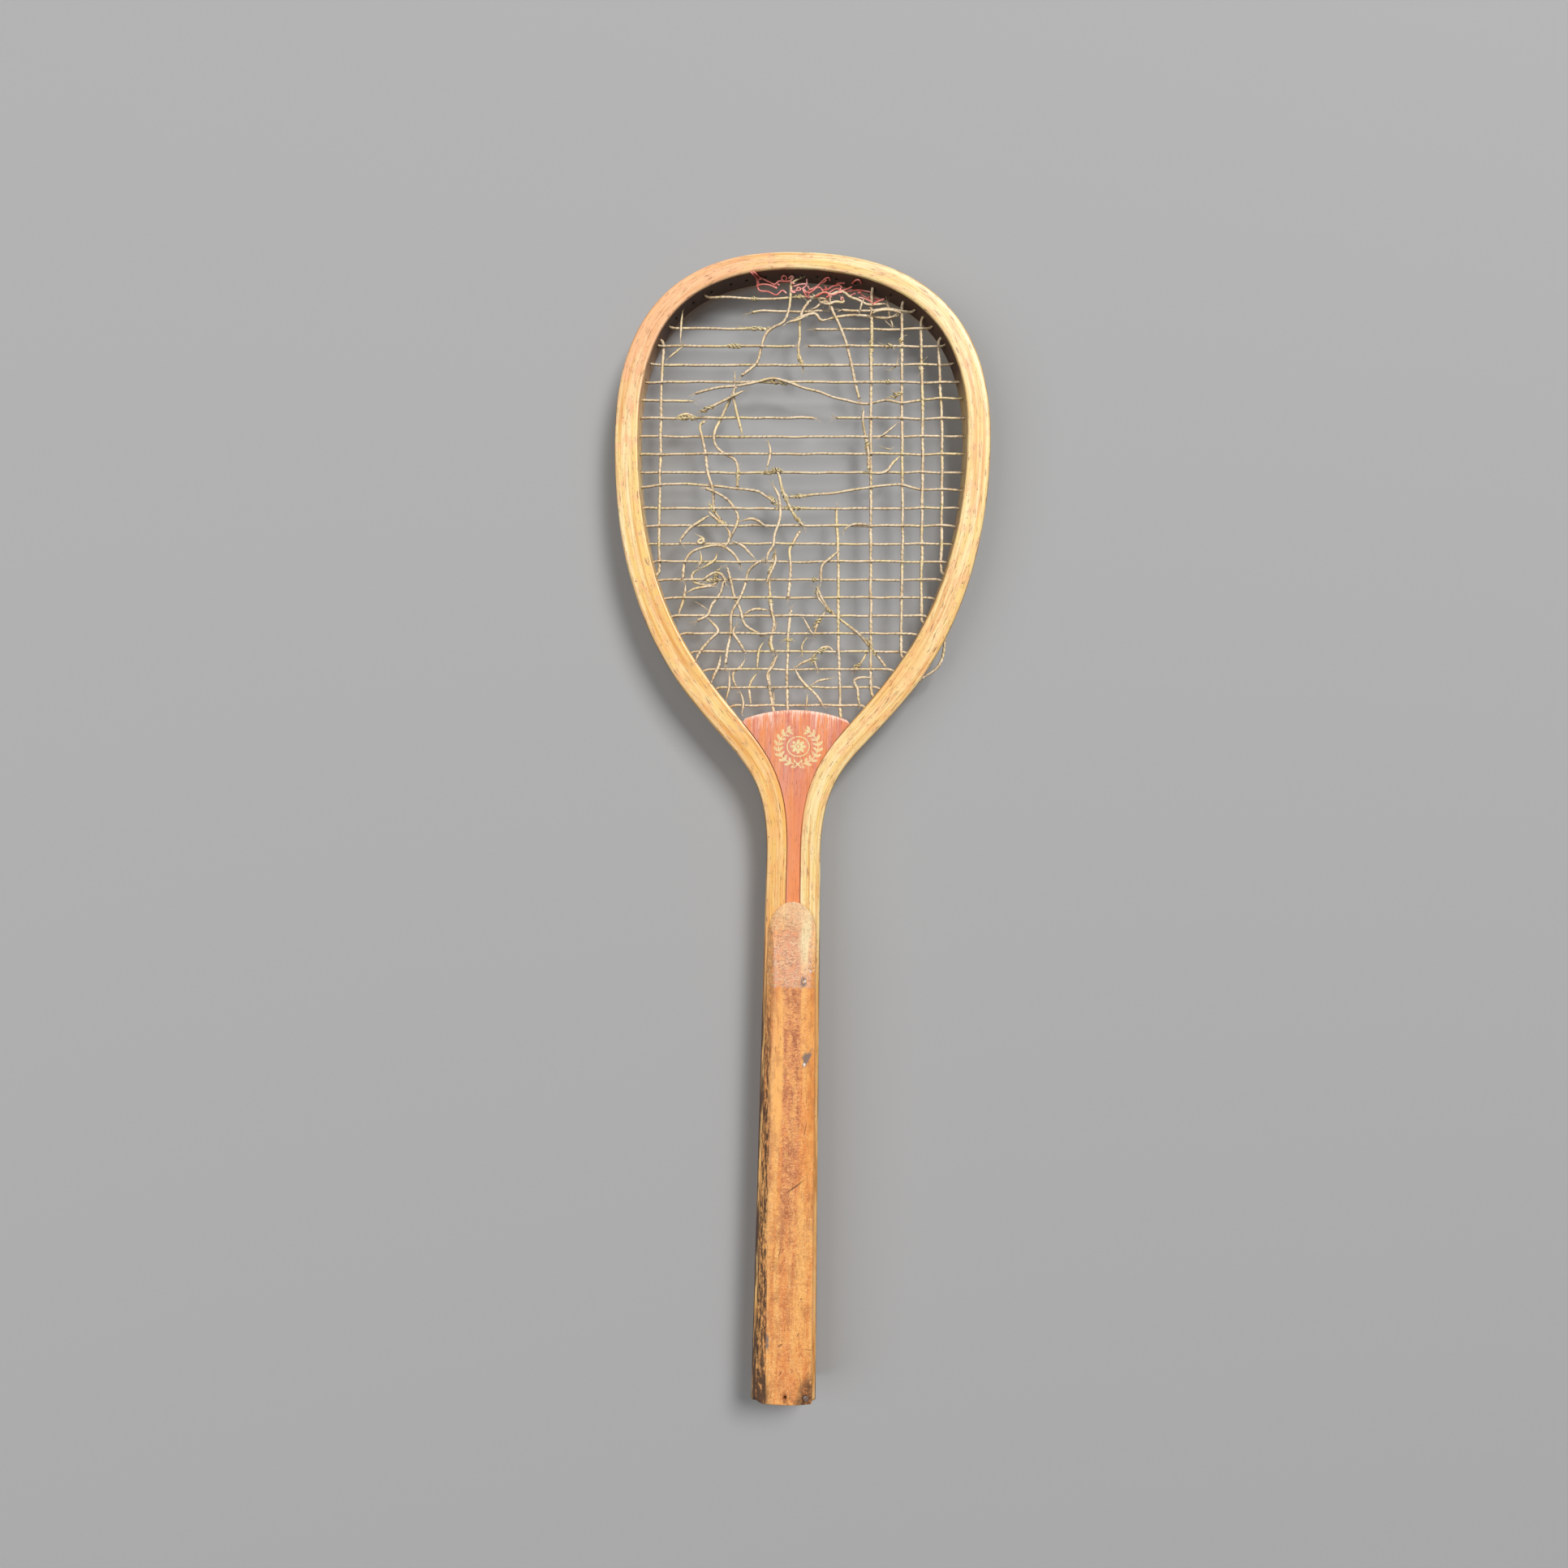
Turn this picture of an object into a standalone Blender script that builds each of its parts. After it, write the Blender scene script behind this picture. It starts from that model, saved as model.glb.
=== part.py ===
# A wooden lawn tennis racket, lying on its back with the front of the head upwards.
# The racket is drawn with x across the face, y from the butt to the top of the head and z out of
# the front, with z = 0 in the plane of the strings. One empty then sets it on the ground, with the
# origin under the middle of its length.

import math

import bmesh
import bpy
from mathutils import Matrix, Vector
from mathutils.geometry import interpolate_bezier, intersect_line_line_2d

# Overall sizes, in metres
overall_length = 0.6858
head_width = 0.2251
head_skew = 0.0007
bow_depth = 0.0185

# Width of the bow, seen from the front, at places along it
bow_width_top = 0.0105
bow_width_upper = 0.0120
bow_width_side = 0.0142
bow_width_shoulder = 0.0160
bow_width_throat = 0.0141
leg_width = 0.0123

# Shape of the bow's centre line
widest_below_top = 0.1100
shoulder_below_top = 0.2552
shoulder_half_width = 0.0637
shoulder_angle = math.radians(36.7)
flare_below_top = 0.3603
flare_handle_length = 0.0570
shoulder_lower_handle_length = 0.0560
shoulder_upper_handle_length = 0.0530
side_lower_handle_length = 0.0500
side_upper_handle_length = 0.0850
apex_offset = 0.0040
apex_left_handle_length = 0.0520
apex_right_handle_length = 0.0550

# Edges and string groove of the bow
outer_edge_radius = 0.0022
inner_edge_radius = 0.0012
groove_width = 0.0036
groove_depth = 0.0019
groove_slope_depth = 0.0005
groove_fade_length = 0.0120
groove_below_crown = 0.0300

# Throat wedge
stem_width_top = 0.0072
stem_width_butt = 0.0135
crown_below_top = 0.2739
crown_rise = 0.0061
crown_edge_radius = 0.0014

# Handle cheeks
cheek_length = 0.2975
cheek_arch_length = 0.0190
cheek_slope_length = 0.0520
cheek_tip_thickness = 0.0007
cheek_thickness = 0.0055
wide_bevel = 0.0052
narrow_bevel = 0.0028
cheek_edge_radius = 0.0006

# Nail in the front of the butt, and the empty hole beside it
nail_from_edge = 0.00375
nail_from_butt = 0.0050
nail_length = 0.0140
nail_shank = 0.0016
nail_head = 0.0034
nail_head_thickness = 0.0006
empty_hole_offset = 0.0008
empty_hole_width = 0.0022
empty_hole_depth = 0.0100

# Strings
string_diameter = 0.00145
trebling_diameter = 0.0009
main_count = 17
outer_main_half_width = 0.0852
cross_count = 24
second_cross_below_top = 0.0315
last_cross_above_crown = 0.0035
first_cross_gap = 0.0076
bed_turn = math.radians(1.09)
hole_spacing = 0.0036
crown_hole_depth = 0.0090
right_groove_rows = (15.4, 22.0)
right_groove_bulge_height = 0.0060

# Clearances between touching pieces
glue_gap = 0.00025
string_gap = 0.00020
thinning_gap = 0.00015
hole_gap = 0.00030

half_depth = bow_depth / 2
string_radius = string_diameter / 2
hole_radius = string_radius + hole_gap
string_reach = string_diameter + string_gap
bend_stand = string_radius + 0.0009
crown_stand = 0.0009
head_centre_y = overall_length - widest_below_top
crown_top_y = overall_length - crown_below_top
handle_height = half_depth + glue_gap + cheek_thickness

for old in list(bpy.data.objects):
    bpy.data.objects.remove(old, do_unlink=True)

racket = bpy.data.objects.new("racket", None)
racket.location = (-head_skew, -overall_length / 2, handle_height)
bpy.context.collection.objects.link(racket)


# Materials

def wood_or_gut(name, colour, roughness, metallic=0.0):
    material = bpy.data.materials.new(name)
    material.use_nodes = True
    shader = material.node_tree.nodes["Principled BSDF"]
    shader.inputs["Base Color"].default_value = (*colour, 1.0)
    shader.inputs["Roughness"].default_value = roughness
    shader.inputs["Metallic"].default_value = metallic
    material.diffuse_color = (*colour, 1.0)
    return material


ash = wood_or_gut("ash", (0.80, 0.52, 0.22), 0.38)
mahogany = wood_or_gut("mahogany", (0.60, 0.20, 0.10), 0.36)
worn_cheek = wood_or_gut("worn_cheek", (0.66, 0.32, 0.13), 0.50)
gut = wood_or_gut("gut", (0.74, 0.60, 0.42), 0.45)
red_gut = wood_or_gut("red_gut", (0.72, 0.20, 0.17), 0.45)
rusty_steel = wood_or_gut("rusty_steel", (0.20, 0.18, 0.16), 0.55, 1.0)


def add_piece(name, data, material):
    piece = bpy.data.objects.new(name, data)
    piece.data.materials.append(material)
    piece.parent = racket
    bpy.context.collection.objects.link(piece)
    return piece


def finish_mesh(name, shape, material):
    bmesh.ops.recalc_face_normals(shape, faces=shape.faces)
    mesh = bpy.data.meshes.new(name)
    shape.to_mesh(mesh)
    shape.free()
    return add_piece(name, mesh, material)


# The bow's line, from the butt of the left leg round the head to the butt of the right leg

def mix(first, second, share):
    return first + (second - first) * share


def leg_centre(y):
    stem_half = mix(stem_width_butt, stem_width_top, y / (overall_length - flare_below_top)) / 2
    return stem_half + glue_gap + leg_width / 2


class Station:
    def __init__(self, point, width):
        self.point = point
        self.width = width
        self.normal = Vector((0.0, 0.0))


def half_bow(side, apex_handle_length):
    flare_y = overall_length - flare_below_top
    flare = Vector((leg_centre(flare_y), flare_y))
    shoulder = Vector((shoulder_half_width, overall_length - shoulder_below_top))
    slant = Vector((math.sin(shoulder_angle), math.cos(shoulder_angle)))
    widest = Vector((head_width / 2 - bow_width_side / 2 + side * head_skew, head_centre_y))
    apex = Vector((-side * apex_offset, overall_length - bow_width_top / 2))
    up = Vector((0.0, 1.0))
    runs = [
        (flare, flare + up * flare_handle_length, shoulder - slant * shoulder_lower_handle_length, shoulder,
         12, (leg_width, bow_width_throat, bow_width_shoulder)),
        (shoulder, shoulder + slant * shoulder_upper_handle_length,
         widest - up * side_lower_handle_length, widest,
         12, (bow_width_shoulder, mix(bow_width_shoulder, bow_width_side, 0.5), bow_width_side)),
        (widest, widest + up * side_upper_handle_length, apex + Vector((apex_handle_length, 0.0)), apex,
         15, (bow_width_side, bow_width_upper, bow_width_top)),
    ]
    stations = [Station(Vector((leg_centre(0.0), 0.0)), leg_width)]
    for start, start_handle, end_handle, end, count, widths in runs:
        points = interpolate_bezier(start, start_handle, end_handle, end, count)
        for index, point in enumerate(points[:-1]):
            share = index / (count - 1) * 2
            width = mix(widths[0], widths[1], share) if share < 1 else mix(widths[1], widths[2], share - 1)
            stations.append(Station(point.to_2d(), width))
    stations.append(Station(apex, bow_width_top))
    for station in stations:
        station.point.x *= side
    return stations


def bow_stations():
    left = half_bow(-1, apex_left_handle_length)
    right = half_bow(1, apex_right_handle_length)
    stations = left + right[-2::-1]
    for before, here, after in zip(stations, stations[1:], stations[2:]):
        along = (after.point - before.point).normalized()
        here.normal = Vector((-along.y, along.x))
    stations[0].normal = Vector((-1.0, 0.0))
    stations[-1].normal = Vector((1.0, 0.0))
    return stations


bow_line = bow_stations()


def bow_edge(share, offset):
    """Point of the bow's line at a station number with a fraction; offset runs outwards."""
    index = min(int(share), len(bow_line) - 2)
    here, after = bow_line[index], bow_line[index + 1]
    first = here.point + here.normal * offset(here)
    second = after.point + after.normal * offset(after)
    return mix(first, second, share - index)


def inner_edge(share, stand=0.0):
    return bow_edge(share, lambda station: -station.width / 2 - stand)


def outer_edge(share, stand=0.0):
    return bow_edge(share, lambda station: station.width / 2 + stand)


def bow_normal(share):
    return (outer_edge(share) - inner_edge(share)).normalized()


def groove_at(station):
    level = station.point.y - crown_top_y + groove_below_crown
    return groove_depth * max(0.0, min(1.0, level / groove_fade_length))


def bow_section(station):
    half = station.width / 2
    outer, inner = outer_edge_radius, inner_edge_radius
    soft = outer * (1 - math.sqrt(0.5))
    lip, floor = groove_width / 2, half - groove_at(station)
    front = [
        (inner - half, half_depth),
        (half - outer, half_depth),
        (half - soft, half_depth - soft),
        (half, half_depth - outer),
        (half, lip),
        (floor, lip - groove_slope_depth),
    ]
    back = [(u, -z) for u, z in reversed(front)]
    return front + back + [(-half, inner - half_depth), (-half, half_depth - inner)]


def loft(shape, rings):
    """Skin a row of closed rings, with a flat face on each end."""
    for ring, after in zip(rings, rings[1:]):
        for index in range(len(ring)):
            turn = (index + 1) % len(ring)
            shape.faces.new((ring[index], ring[turn], after[turn], after[index]))
    shape.faces.new(rings[0][::-1])
    shape.faces.new(rings[-1])


def make_bow():
    shape = bmesh.new()
    rings = []
    for station in bow_line:
        ring = []
        for u, z in bow_section(station):
            place = station.point + station.normal * u
            ring.append(shape.verts.new((place.x, place.y, z)))
        rings.append(ring)
    loft(shape, rings)
    return finish_mesh("bow", shape, ash)


# The wedge between the legs, with its convex crown

def share_at_height(y, side):
    """Station share where the wedge's side of the bow reaches a height, on one leg."""
    last = len(bow_line) - 1
    for step in range(last * 8):
        share = step / 8 if side < 0 else last - step / 8
        if inner_edge(share, glue_gap).y >= y:
            return share
    return last / 2


def crown_corner(side):
    return inner_edge(share_at_height(crown_top_y - crown_rise, side), glue_gap)


def crown_height(x):
    half = crown_corner(1).x
    radius = (half ** 2 + crown_rise ** 2) / (2 * crown_rise)
    return crown_top_y - radius + math.sqrt(max(radius ** 2 - x ** 2, 0.0))


def wedge_outline():
    points = []
    for side in (-1, 1):
        corner = crown_corner(side)
        stations = bow_line if side < 0 else bow_line[::-1]
        flank = []
        for station in stations:
            edge = station.point - station.normal * (station.width / 2 + glue_gap)
            if edge.y > corner.y - 0.002:
                break
            flank.append(edge)
        flank.append(corner)
        points.append(flank)
    left, right = points
    steps = 12
    crown = []
    for step in range(1, steps):
        x = mix(left[-1].x, right[-1].x, step / steps)
        crown.append(Vector((x, crown_height(x))))
    return left + crown + right[::-1]


def make_wedge():
    shape = bmesh.new()
    outline = wedge_outline()
    back = [shape.verts.new((p.x, p.y, -half_depth)) for p in outline]
    front = [shape.verts.new((p.x, p.y, half_depth)) for p in outline]
    loft(shape, [back, front])
    crown_foot = crown_top_y - crown_rise - 0.0001
    crown_edges = [edge for edge in shape.edges
                   if all(vert.co.y > crown_foot for vert in edge.verts)
                   and abs(edge.verts[0].co.z - edge.verts[1].co.z) < 0.0001]
    bmesh.ops.bevel(shape, geom=crown_edges, offset=crown_edge_radius, segments=2, profile=0.5,
                    affect="EDGES", clamp_overlap=True)
    return finish_mesh("throat_wedge", shape, mahogany)


# The two cheeks of the handle: one shape, used on the front and turned over on the back

def handle_half_width(y):
    return leg_centre(y) + leg_width / 2


def cheek_plan(y):
    """Half width and thickness of the cheek at a height above the butt."""
    below_tip = cheek_length - y
    rise = min(1.0, below_tip / cheek_slope_length)
    thickness = mix(cheek_tip_thickness, cheek_thickness, math.sin(rise * math.pi / 2))
    across = max(0.0, 1 - below_tip / cheek_arch_length)
    width = (handle_half_width(y) - outer_edge_radius) * math.sqrt(1 - across ** 2)
    return width, thickness


def cheek_levels():
    arch = [cheek_length - cheek_arch_length * (1 - math.cos(math.radians(angle)))
            for angle in (8, 18, 30, 42, 54, 66, 78, 90)]
    arch_foot = cheek_length - cheek_arch_length
    slope_foot = cheek_length - cheek_slope_length
    slope = [mix(arch_foot, slope_foot, step / 4) for step in range(1, 5)]
    grip = [slope_foot * (1 - step / 3) for step in range(1, 4)]
    return arch + slope + grip


def make_cheek_shape():
    shape = bmesh.new()
    foot = half_depth + glue_gap
    rings = []
    for y in cheek_levels():
        width, thickness = cheek_plan(y)
        wide = (wide_bevel - outer_edge_radius) / cheek_thickness * thickness
        narrow = (narrow_bevel - outer_edge_radius) / cheek_thickness * thickness
        soften = cheek_edge_radius * thickness / cheek_thickness
        top = foot + thickness
        section = [
            (-width, foot),
            (-width + wide - soften * 0.7, top - soften),
            (-width + wide + soften, top),
            (width - narrow - soften, top),
            (width - narrow + soften * 0.3, top - soften),
            (width, foot),
        ]
        rings.append([shape.verts.new((x, y, z)) for x, z in section])
    loft(shape, rings)
    return shape


def make_cheeks():
    front = finish_mesh("front_cheek", make_cheek_shape(), worn_cheek)
    back = finish_mesh("back_cheek", make_cheek_shape(), worn_cheek)
    back.rotation_euler = (0.0, math.pi, 0.0)
    return front, back


# Holes are cut by plain bars, all those of one piece in one cutter

def bar(shape, start, end, radius, sides=6):
    along = end - start
    turn = Vector((0.0, 0.0, 1.0)).rotation_difference(along)
    place = Matrix.Translation((start + end) / 2) @ turn.to_matrix().to_4x4()
    bmesh.ops.create_cone(shape, cap_ends=True, segments=sides, radius1=radius, radius2=radius,
                          depth=along.length, matrix=place)


def cut(piece, cutter_shape, name):
    mesh = bpy.data.meshes.new(name)
    cutter_shape.to_mesh(mesh)
    cutter_shape.free()
    cutter = bpy.data.objects.new(name, mesh)
    cutter.parent = racket
    cutter.display_type = "WIRE"
    cutter.hide_render = True
    bpy.context.collection.objects.link(cutter)
    modifier = piece.modifiers.new(name, "BOOLEAN")
    modifier.operation = "DIFFERENCE"
    modifier.solver = "EXACT"
    modifier.object = cutter


def nail_place():
    return Vector((cheek_plan(nail_from_butt)[0] - nail_from_edge, nail_from_butt, 0.0))


def nail_cutter():
    shape = bmesh.new()
    across = nail_place().x
    top = handle_height + 0.001
    radius = nail_shank / 2 + hole_gap
    sunk = nail_length - nail_head_thickness + hole_gap
    front_face = half_depth + glue_gap + cheek_plan(nail_from_butt)[1]
    bar(shape, Vector((across, nail_from_butt, front_face - sunk)),
        Vector((across, nail_from_butt, top)), radius, 8)
    bar(shape, Vector((empty_hole_offset, nail_from_butt, front_face - empty_hole_depth)),
        Vector((empty_hole_offset, nail_from_butt, top)), empty_hole_width / 2, 8)
    return shape


def make_nail():
    shape = bmesh.new()
    head_foot = half_depth + glue_gap + cheek_plan(nail_from_butt)[1] + glue_gap
    radius = nail_shank / 2
    profile = [
        (0.0, head_foot - nail_length + nail_head_thickness),
        (radius, head_foot - nail_length + nail_head_thickness + 0.002),
        (radius, head_foot),
        (nail_head / 2, head_foot),
        (nail_head / 2, head_foot + nail_head_thickness * 0.6),
        (nail_head / 3, head_foot + nail_head_thickness),
        (0.0, head_foot + nail_head_thickness),
    ]
    verts = [shape.verts.new((r, 0.0, z)) for r, z in profile]
    edges = [shape.edges.new(pair) for pair in zip(verts, verts[1:])]
    bmesh.ops.spin(shape, geom=verts + edges, cent=(0, 0, 0), axis=(0, 0, 1), angle=math.tau, steps=10)
    bmesh.ops.remove_doubles(shape, verts=shape.verts, dist=0.00001)
    bmesh.ops.translate(shape, verts=shape.verts, vec=nail_place())
    return finish_mesh("butt_nail", shape, rusty_steel)


# The string bed. Places in it are given as a column, counted in mains from the left, and a row,
# counted in crosses from the top; both may be fractions.

second_cross_y = overall_length - second_cross_below_top
last_cross_y = crown_top_y + last_cross_above_crown
cross_pitch = (second_cross_y - last_cross_y) / (cross_count - 2)
main_pitch = 2 * outer_main_half_width / (main_count - 1)
middle_column = (main_count + 1) / 2
right_of_bed = main_count + 1


def bed(column, row):
    across = (column - middle_column) * main_pitch
    above = second_cross_y - (row - 2) * cross_pitch - head_centre_y
    turn = Matrix.Rotation(bed_turn, 2)
    return Vector((0.0, head_centre_y)) + turn @ Vector((across, above))


sockets = []


def meet_bow(start, towards):
    """Station share where a string going from start meets the line of bends inside the bow."""
    far = start + (towards - start).normalized() * overall_length
    best = None
    for index in range(len(bow_line) - 1):
        first, second = inner_edge(index, bend_stand), inner_edge(index + 1, bend_stand)
        hit = intersect_line_line_2d(start, far, first, second)
        if hit and (best is None or (hit - start).length < best[0]):
            best = ((hit - start).length, index + (hit - first).length / (second - first).length)
    return best[1]


def line_length(low, high):
    return (inner_edge(low) - inner_edge(high)).length


def claim_socket(share):
    """A free hole in the bow as near as can be to a wished one."""
    step = 0.02
    for trial in range(400):
        for wish in (share + trial * step, share - trial * step):
            if all(line_length(wish, used) >= hole_spacing for used in sockets):
                sockets.append(wish)
                return wish
    return share


def bend_point(share):
    return inner_edge(share, bend_stand)


def hole_end(share):
    return outer_edge(share, -groove_depth - hole_gap)


def groove_point(share, lift=0.0):
    return outer_edge(share, lift + string_radius + hole_gap - groove_depth)


def flat(point, z=0.0):
    return Vector((point.x, point.y, z))


def curve_through(points, step):
    """A smooth line through a strand's own points, with a point every step or so."""
    line = []
    for index in range(len(points) - 1):
        before = points[max(index - 1, 0)]
        first, second = points[index], points[index + 1]
        after = points[min(index + 2, len(points) - 1)]
        count = max(1, round((second - first).length / step))
        pull_first, pull_second = (second - before) / 6, (after - first) / 6
        run = interpolate_bezier(first, first + pull_first, second - pull_second, second, count + 1)
        line.extend(point.to_2d() for point in run[:-1])
    line.append(points[-1])
    return line


class Strand:
    """One piece of string: its line in the bed, and the bow sockets at its ends, if any."""

    def __init__(self, name, line, first_socket=None, last_socket=None):
        self.name = name
        self.line = line
        self.sockets = (first_socket, last_socket)
        self.knots = {}
        self.loop_to = [None, None]

    def add_knot(self, position, point, z):
        self.knots[position] = flat(point, z)

    def bed_path(self):
        """The line with its crossings, in order, each at its own height."""
        known = dict(self.knots)
        if self.sockets[0] is not None:
            known[0.0] = flat(self.line[0])
        if self.sockets[1] is not None:
            known[float(len(self.line) - 1)] = flat(self.line[-1])
        places = sorted(set(known) | {float(index) for index in range(len(self.line))})
        kept = sorted(known)
        path = []
        for place in places:
            if place in known:
                path.append(known[place])
                continue
            lower = [other for other in kept if other < place]
            upper = [other for other in kept if other > place]
            if lower and upper:
                share = (place - lower[-1]) / (upper[0] - lower[-1])
                z = mix(known[lower[-1]].z, known[upper[0]].z, share)
            elif lower or upper:
                z = known[lower[-1] if lower else upper[0]].z
            else:
                z = 0.0
            path.append(flat(self.line[int(place)], z))
        return tidy_path(path)

    def path(self):
        path = self.bed_path()
        for end, share in enumerate(self.sockets):
            if share is None:
                continue
            tail = [flat(hole_end(share))]
            if self.loop_to[end] is not None:
                goal = self.loop_to[end]
                count = max(2, round(line_length(share, goal) / 0.004))
                tail = [flat(groove_point(mix(share, goal, step / count))) for step in range(count + 1)]
            path = tail[::-1] + path if end == 0 else path + tail
        return path


def tidy_path(path):
    """Drop points that stand too close to the last one kept."""
    kept = [path[0]]
    for point in path[1:-1]:
        if (point - kept[-1]).length > string_diameter and (point - path[-1]).length > string_diameter:
            kept.append(point)
    return kept + [path[-1]]


def thin_path(path, tolerance):
    """Keep only the points that a strand's shape needs."""
    if len(path) < 3:
        return path
    first, last = path[0], path[-1]
    along = (last - first).normalized()
    worst, worst_index = 0.0, 0
    for index, point in enumerate(path[1:-1], 1):
        offset = (point - first) - along * (point - first).dot(along)
        if offset.length > worst:
            worst, worst_index = offset.length, index
    if worst < tolerance:
        return [first, last]
    return thin_path(path[:worst_index + 1], tolerance)[:-1] + thin_path(path[worst_index:], tolerance)


def make_string(name, path, diameter, material):
    curve = bpy.data.curves.new(name, "CURVE")
    curve.dimensions = "3D"
    curve.bevel_depth = diameter / 2
    curve.bevel_resolution = 1
    curve.use_fill_caps = True
    spline = curve.splines.new("POLY")
    spline.points.add(len(path) - 1)
    for place, point in zip(spline.points, path):
        place.co = (*point, 1.0)
    return add_piece(name, curve, material)


def anchored(points, start_held, end_held):
    """Run the held ends of a line to their bends at the bow and claim the holes."""
    line = list(points)
    first = last = None
    if start_held:
        first = claim_socket(meet_bow(line[1], line[0]))
        line[0] = bend_point(first)
    if end_held:
        last = claim_socket(meet_bow(line[-2], line[-1]))
        line[-1] = bend_point(last)
    return line, first, last


# Rows that are whole, or broken in one place; the columns are those of free ends. None is the bow.
cross_pieces = {
    "cross_03_left": (3, None, 7.0),
    "cross_03_right": (3, 9.8, None),
    "cross_04_left": (4, None, 8.6),
    "cross_04_right": (4, 9.4, None),
    "cross_05": (5, None, None),
    "cross_06": (6, None, None),
    "cross_07_left": (7, None, 2.8),
    "cross_08_left": (8, None, 9.7),
    "cross_08_right": (8, 11.0, None),
    "cross_09": (9, None, None),
    "cross_10": (10, None, None),
    "cross_11": (11, None, None),
    **{f"cross_{row:02d}": (row, None, None) for row in range(13, cross_count + 1)},
}

# Rows that have sagged or been pulled out of line, as columns and rows from left to right
bent_crosses = {
    "cross_01": ([(3.4, 1.3), (5.0, 1.25), (6.3, 1.35), (7.8, 1.3), (9.1, 1.2), (10.4, 1.35)], True, False),
    "cross_02_left": ([(6.2, 2.1), (6.7, 2.0), (8.0, 2.05), (9.2, 2.05), (10.2, 2.0)], False, False),
    "cross_02_right": ([(11.3, 2.0), (12.9, 2.05), (13.8, 1.9), (14.6, 2.05), (15.4, 2.1)], False, True),
    "cross_12_left": ([(0.4, 11.8), (1.2, 11.7), (2.8, 11.7), (5.0, 11.9), (6.6, 12.1), (7.5, 12.7)],
                      True, False),
    "cross_12_right": ([(8.3, 12.4), (9.6, 12.3), (11.0, 12.15), (12.6, 11.9), (14.7, 11.7), (15.7, 11.95),
                        (17.6, 12.0)], False, True),
}

# Mains that still stand, from top to bottom; held ends are at the bow or in the crown
standing_mains = {
    "main_01": (1, [(1.1, 3.5), (1.05, 6.0), (1.0, 10.0), (0.92, 14.0), (0.95, 17.8)], "bow", "bow"),
    "main_07_upper": (7, [(7.5, 15.6), (7.15, 16.8), (7.25, 18.4), (7.5, 19.4), (7.2, 20.5), (7.4, 21.0)],
                      None, None),
    "main_07_lower": (7, [(7.6, 21.25), (7.05, 22.1), (7.2, 23.0), (7.4, 24.3)], None, "crown"),
    "main_08_upper": (8, [(8.9, 14.3), (8.3, 15.3), (8.4, 16.4), (8.25, 18.0)], None, None),
    "main_08_lower": (8, [(8.4, 18.7), (8.25, 20.0), (8.2, 22.5), (8.2, 24.3)], None, "crown"),
    "main_11": (11, [(11.0, 13.1), (11.1, 16.0), (11.1, 20.0), (11.25, 24.4)], None, "crown"),
    "main_13": (13, [(13.0, 1.0), (12.95, 9.0), (12.95, 16.0), (12.95, 23.0)], "bow", "bow"),
    "main_15": (15, [(14.7, 2.0), (14.75, 12.0), (14.7, 21.0)], "bow", "bow"),
    "main_16": (16, [(15.8, 3.0), (15.9, 10.0), (15.8, 19.3)], "bow", "bow"),
    "main_17": (17, [(16.8, 4.0), (17.0, 8.0), (16.95, 17.0)], "bow", "bow"),
}

# Loose strands of broken strings, which wander over and under what still stands
loose_strands = {
    "cross_07_long": ([(3.0, 6.7), (4.1, 6.4), (5.2, 6.3), (6.4, 6.1), (7.3, 5.85), (8.0, 6.0), (8.9, 6.3),
                       (10.0, 6.55), (11.2, 6.9), (12.6, 7.1), (13.8, 6.95), (14.7, 7.15), (16.0, 6.95),
                       (17.6, 6.9)], False, True),
    "broken_main_a": ([(8.4, 1.0), (8.3, 2.0), (8.0, 2.7), (7.4, 2.95), (6.9, 3.4), (6.7, 4.2), (6.5, 4.9),
                       (6.1, 5.3), (5.6, 5.65)], True, False),
    "broken_main_b": ([(9.5, 1.5), (9.1, 2.0), (8.9, 2.7), (8.9, 3.6), (8.8, 4.2), (9.1, 5.0)], False, False),
    "broken_main_c": ([(10.6, 1.55), (10.8, 2.2), (11.2, 2.9), (11.6, 3.9), (11.85, 5.1), (12.2, 6.5),
                       (12.3, 6.85)], False, False),
    "broken_main_d": ([(5.3, 6.4), (4.9, 7.1), (4.5, 7.9), (4.1, 8.6), (4.05, 9.4), (4.5, 9.9), (5.15, 10.2),
                       (5.4, 10.8), (5.35, 11.8)], False, False),
    "broken_main_e": ([(3.5, 8.2), (3.2, 8.4), (3.4, 9.2), (3.6, 10.2), (3.7, 11.1), (4.0, 12.0), (4.0, 13.0),
                       (4.4, 13.6)], False, False),
    "broken_main_f": ([(3.6, 12.0), (4.2, 12.2), (4.9, 12.6), (5.4, 13.4), (5.2, 14.3), (4.6, 15.1)],
                      False, False),
    "broken_main_g": ([(2.3, 17.0), (2.3, 16.2), (2.7, 15.5), (3.5, 15.2), (4.4, 15.1), (5.1, 15.5),
                       (5.5, 16.1)], False, False),
    "broken_main_h": ([(4.8, 16.4), (5.05, 17.2), (5.2, 18.0), (5.55, 18.7), (5.8, 19.5), (6.4, 19.9),
                       (6.8, 20.1)], False, False),
    "broken_main_i": ([(6.7, 16.0), (6.0, 16.5), (5.8, 17.3), (5.5, 18.1), (5.0, 18.9), (5.0, 20.0),
                       (4.8, 20.9), (4.7, 21.7)], False, False),
    "broken_main_j": ([(4.6, 17.1), (4.4, 17.7), (3.9, 18.4), (3.7, 19.0), (3.1, 19.3)], False, False),
    "broken_main_k": ([(9.9, 17.5), (10.4, 18.5), (11.2, 19.2), (12.2, 20.0), (13.0, 20.8), (13.8, 21.8)],
                      False, False),
    "broken_main_l": ([(12.5, 7.7), (12.5, 8.3), (12.7, 9.2), (12.8, 10.0), (12.8, 10.9)], False, False),
}

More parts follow.
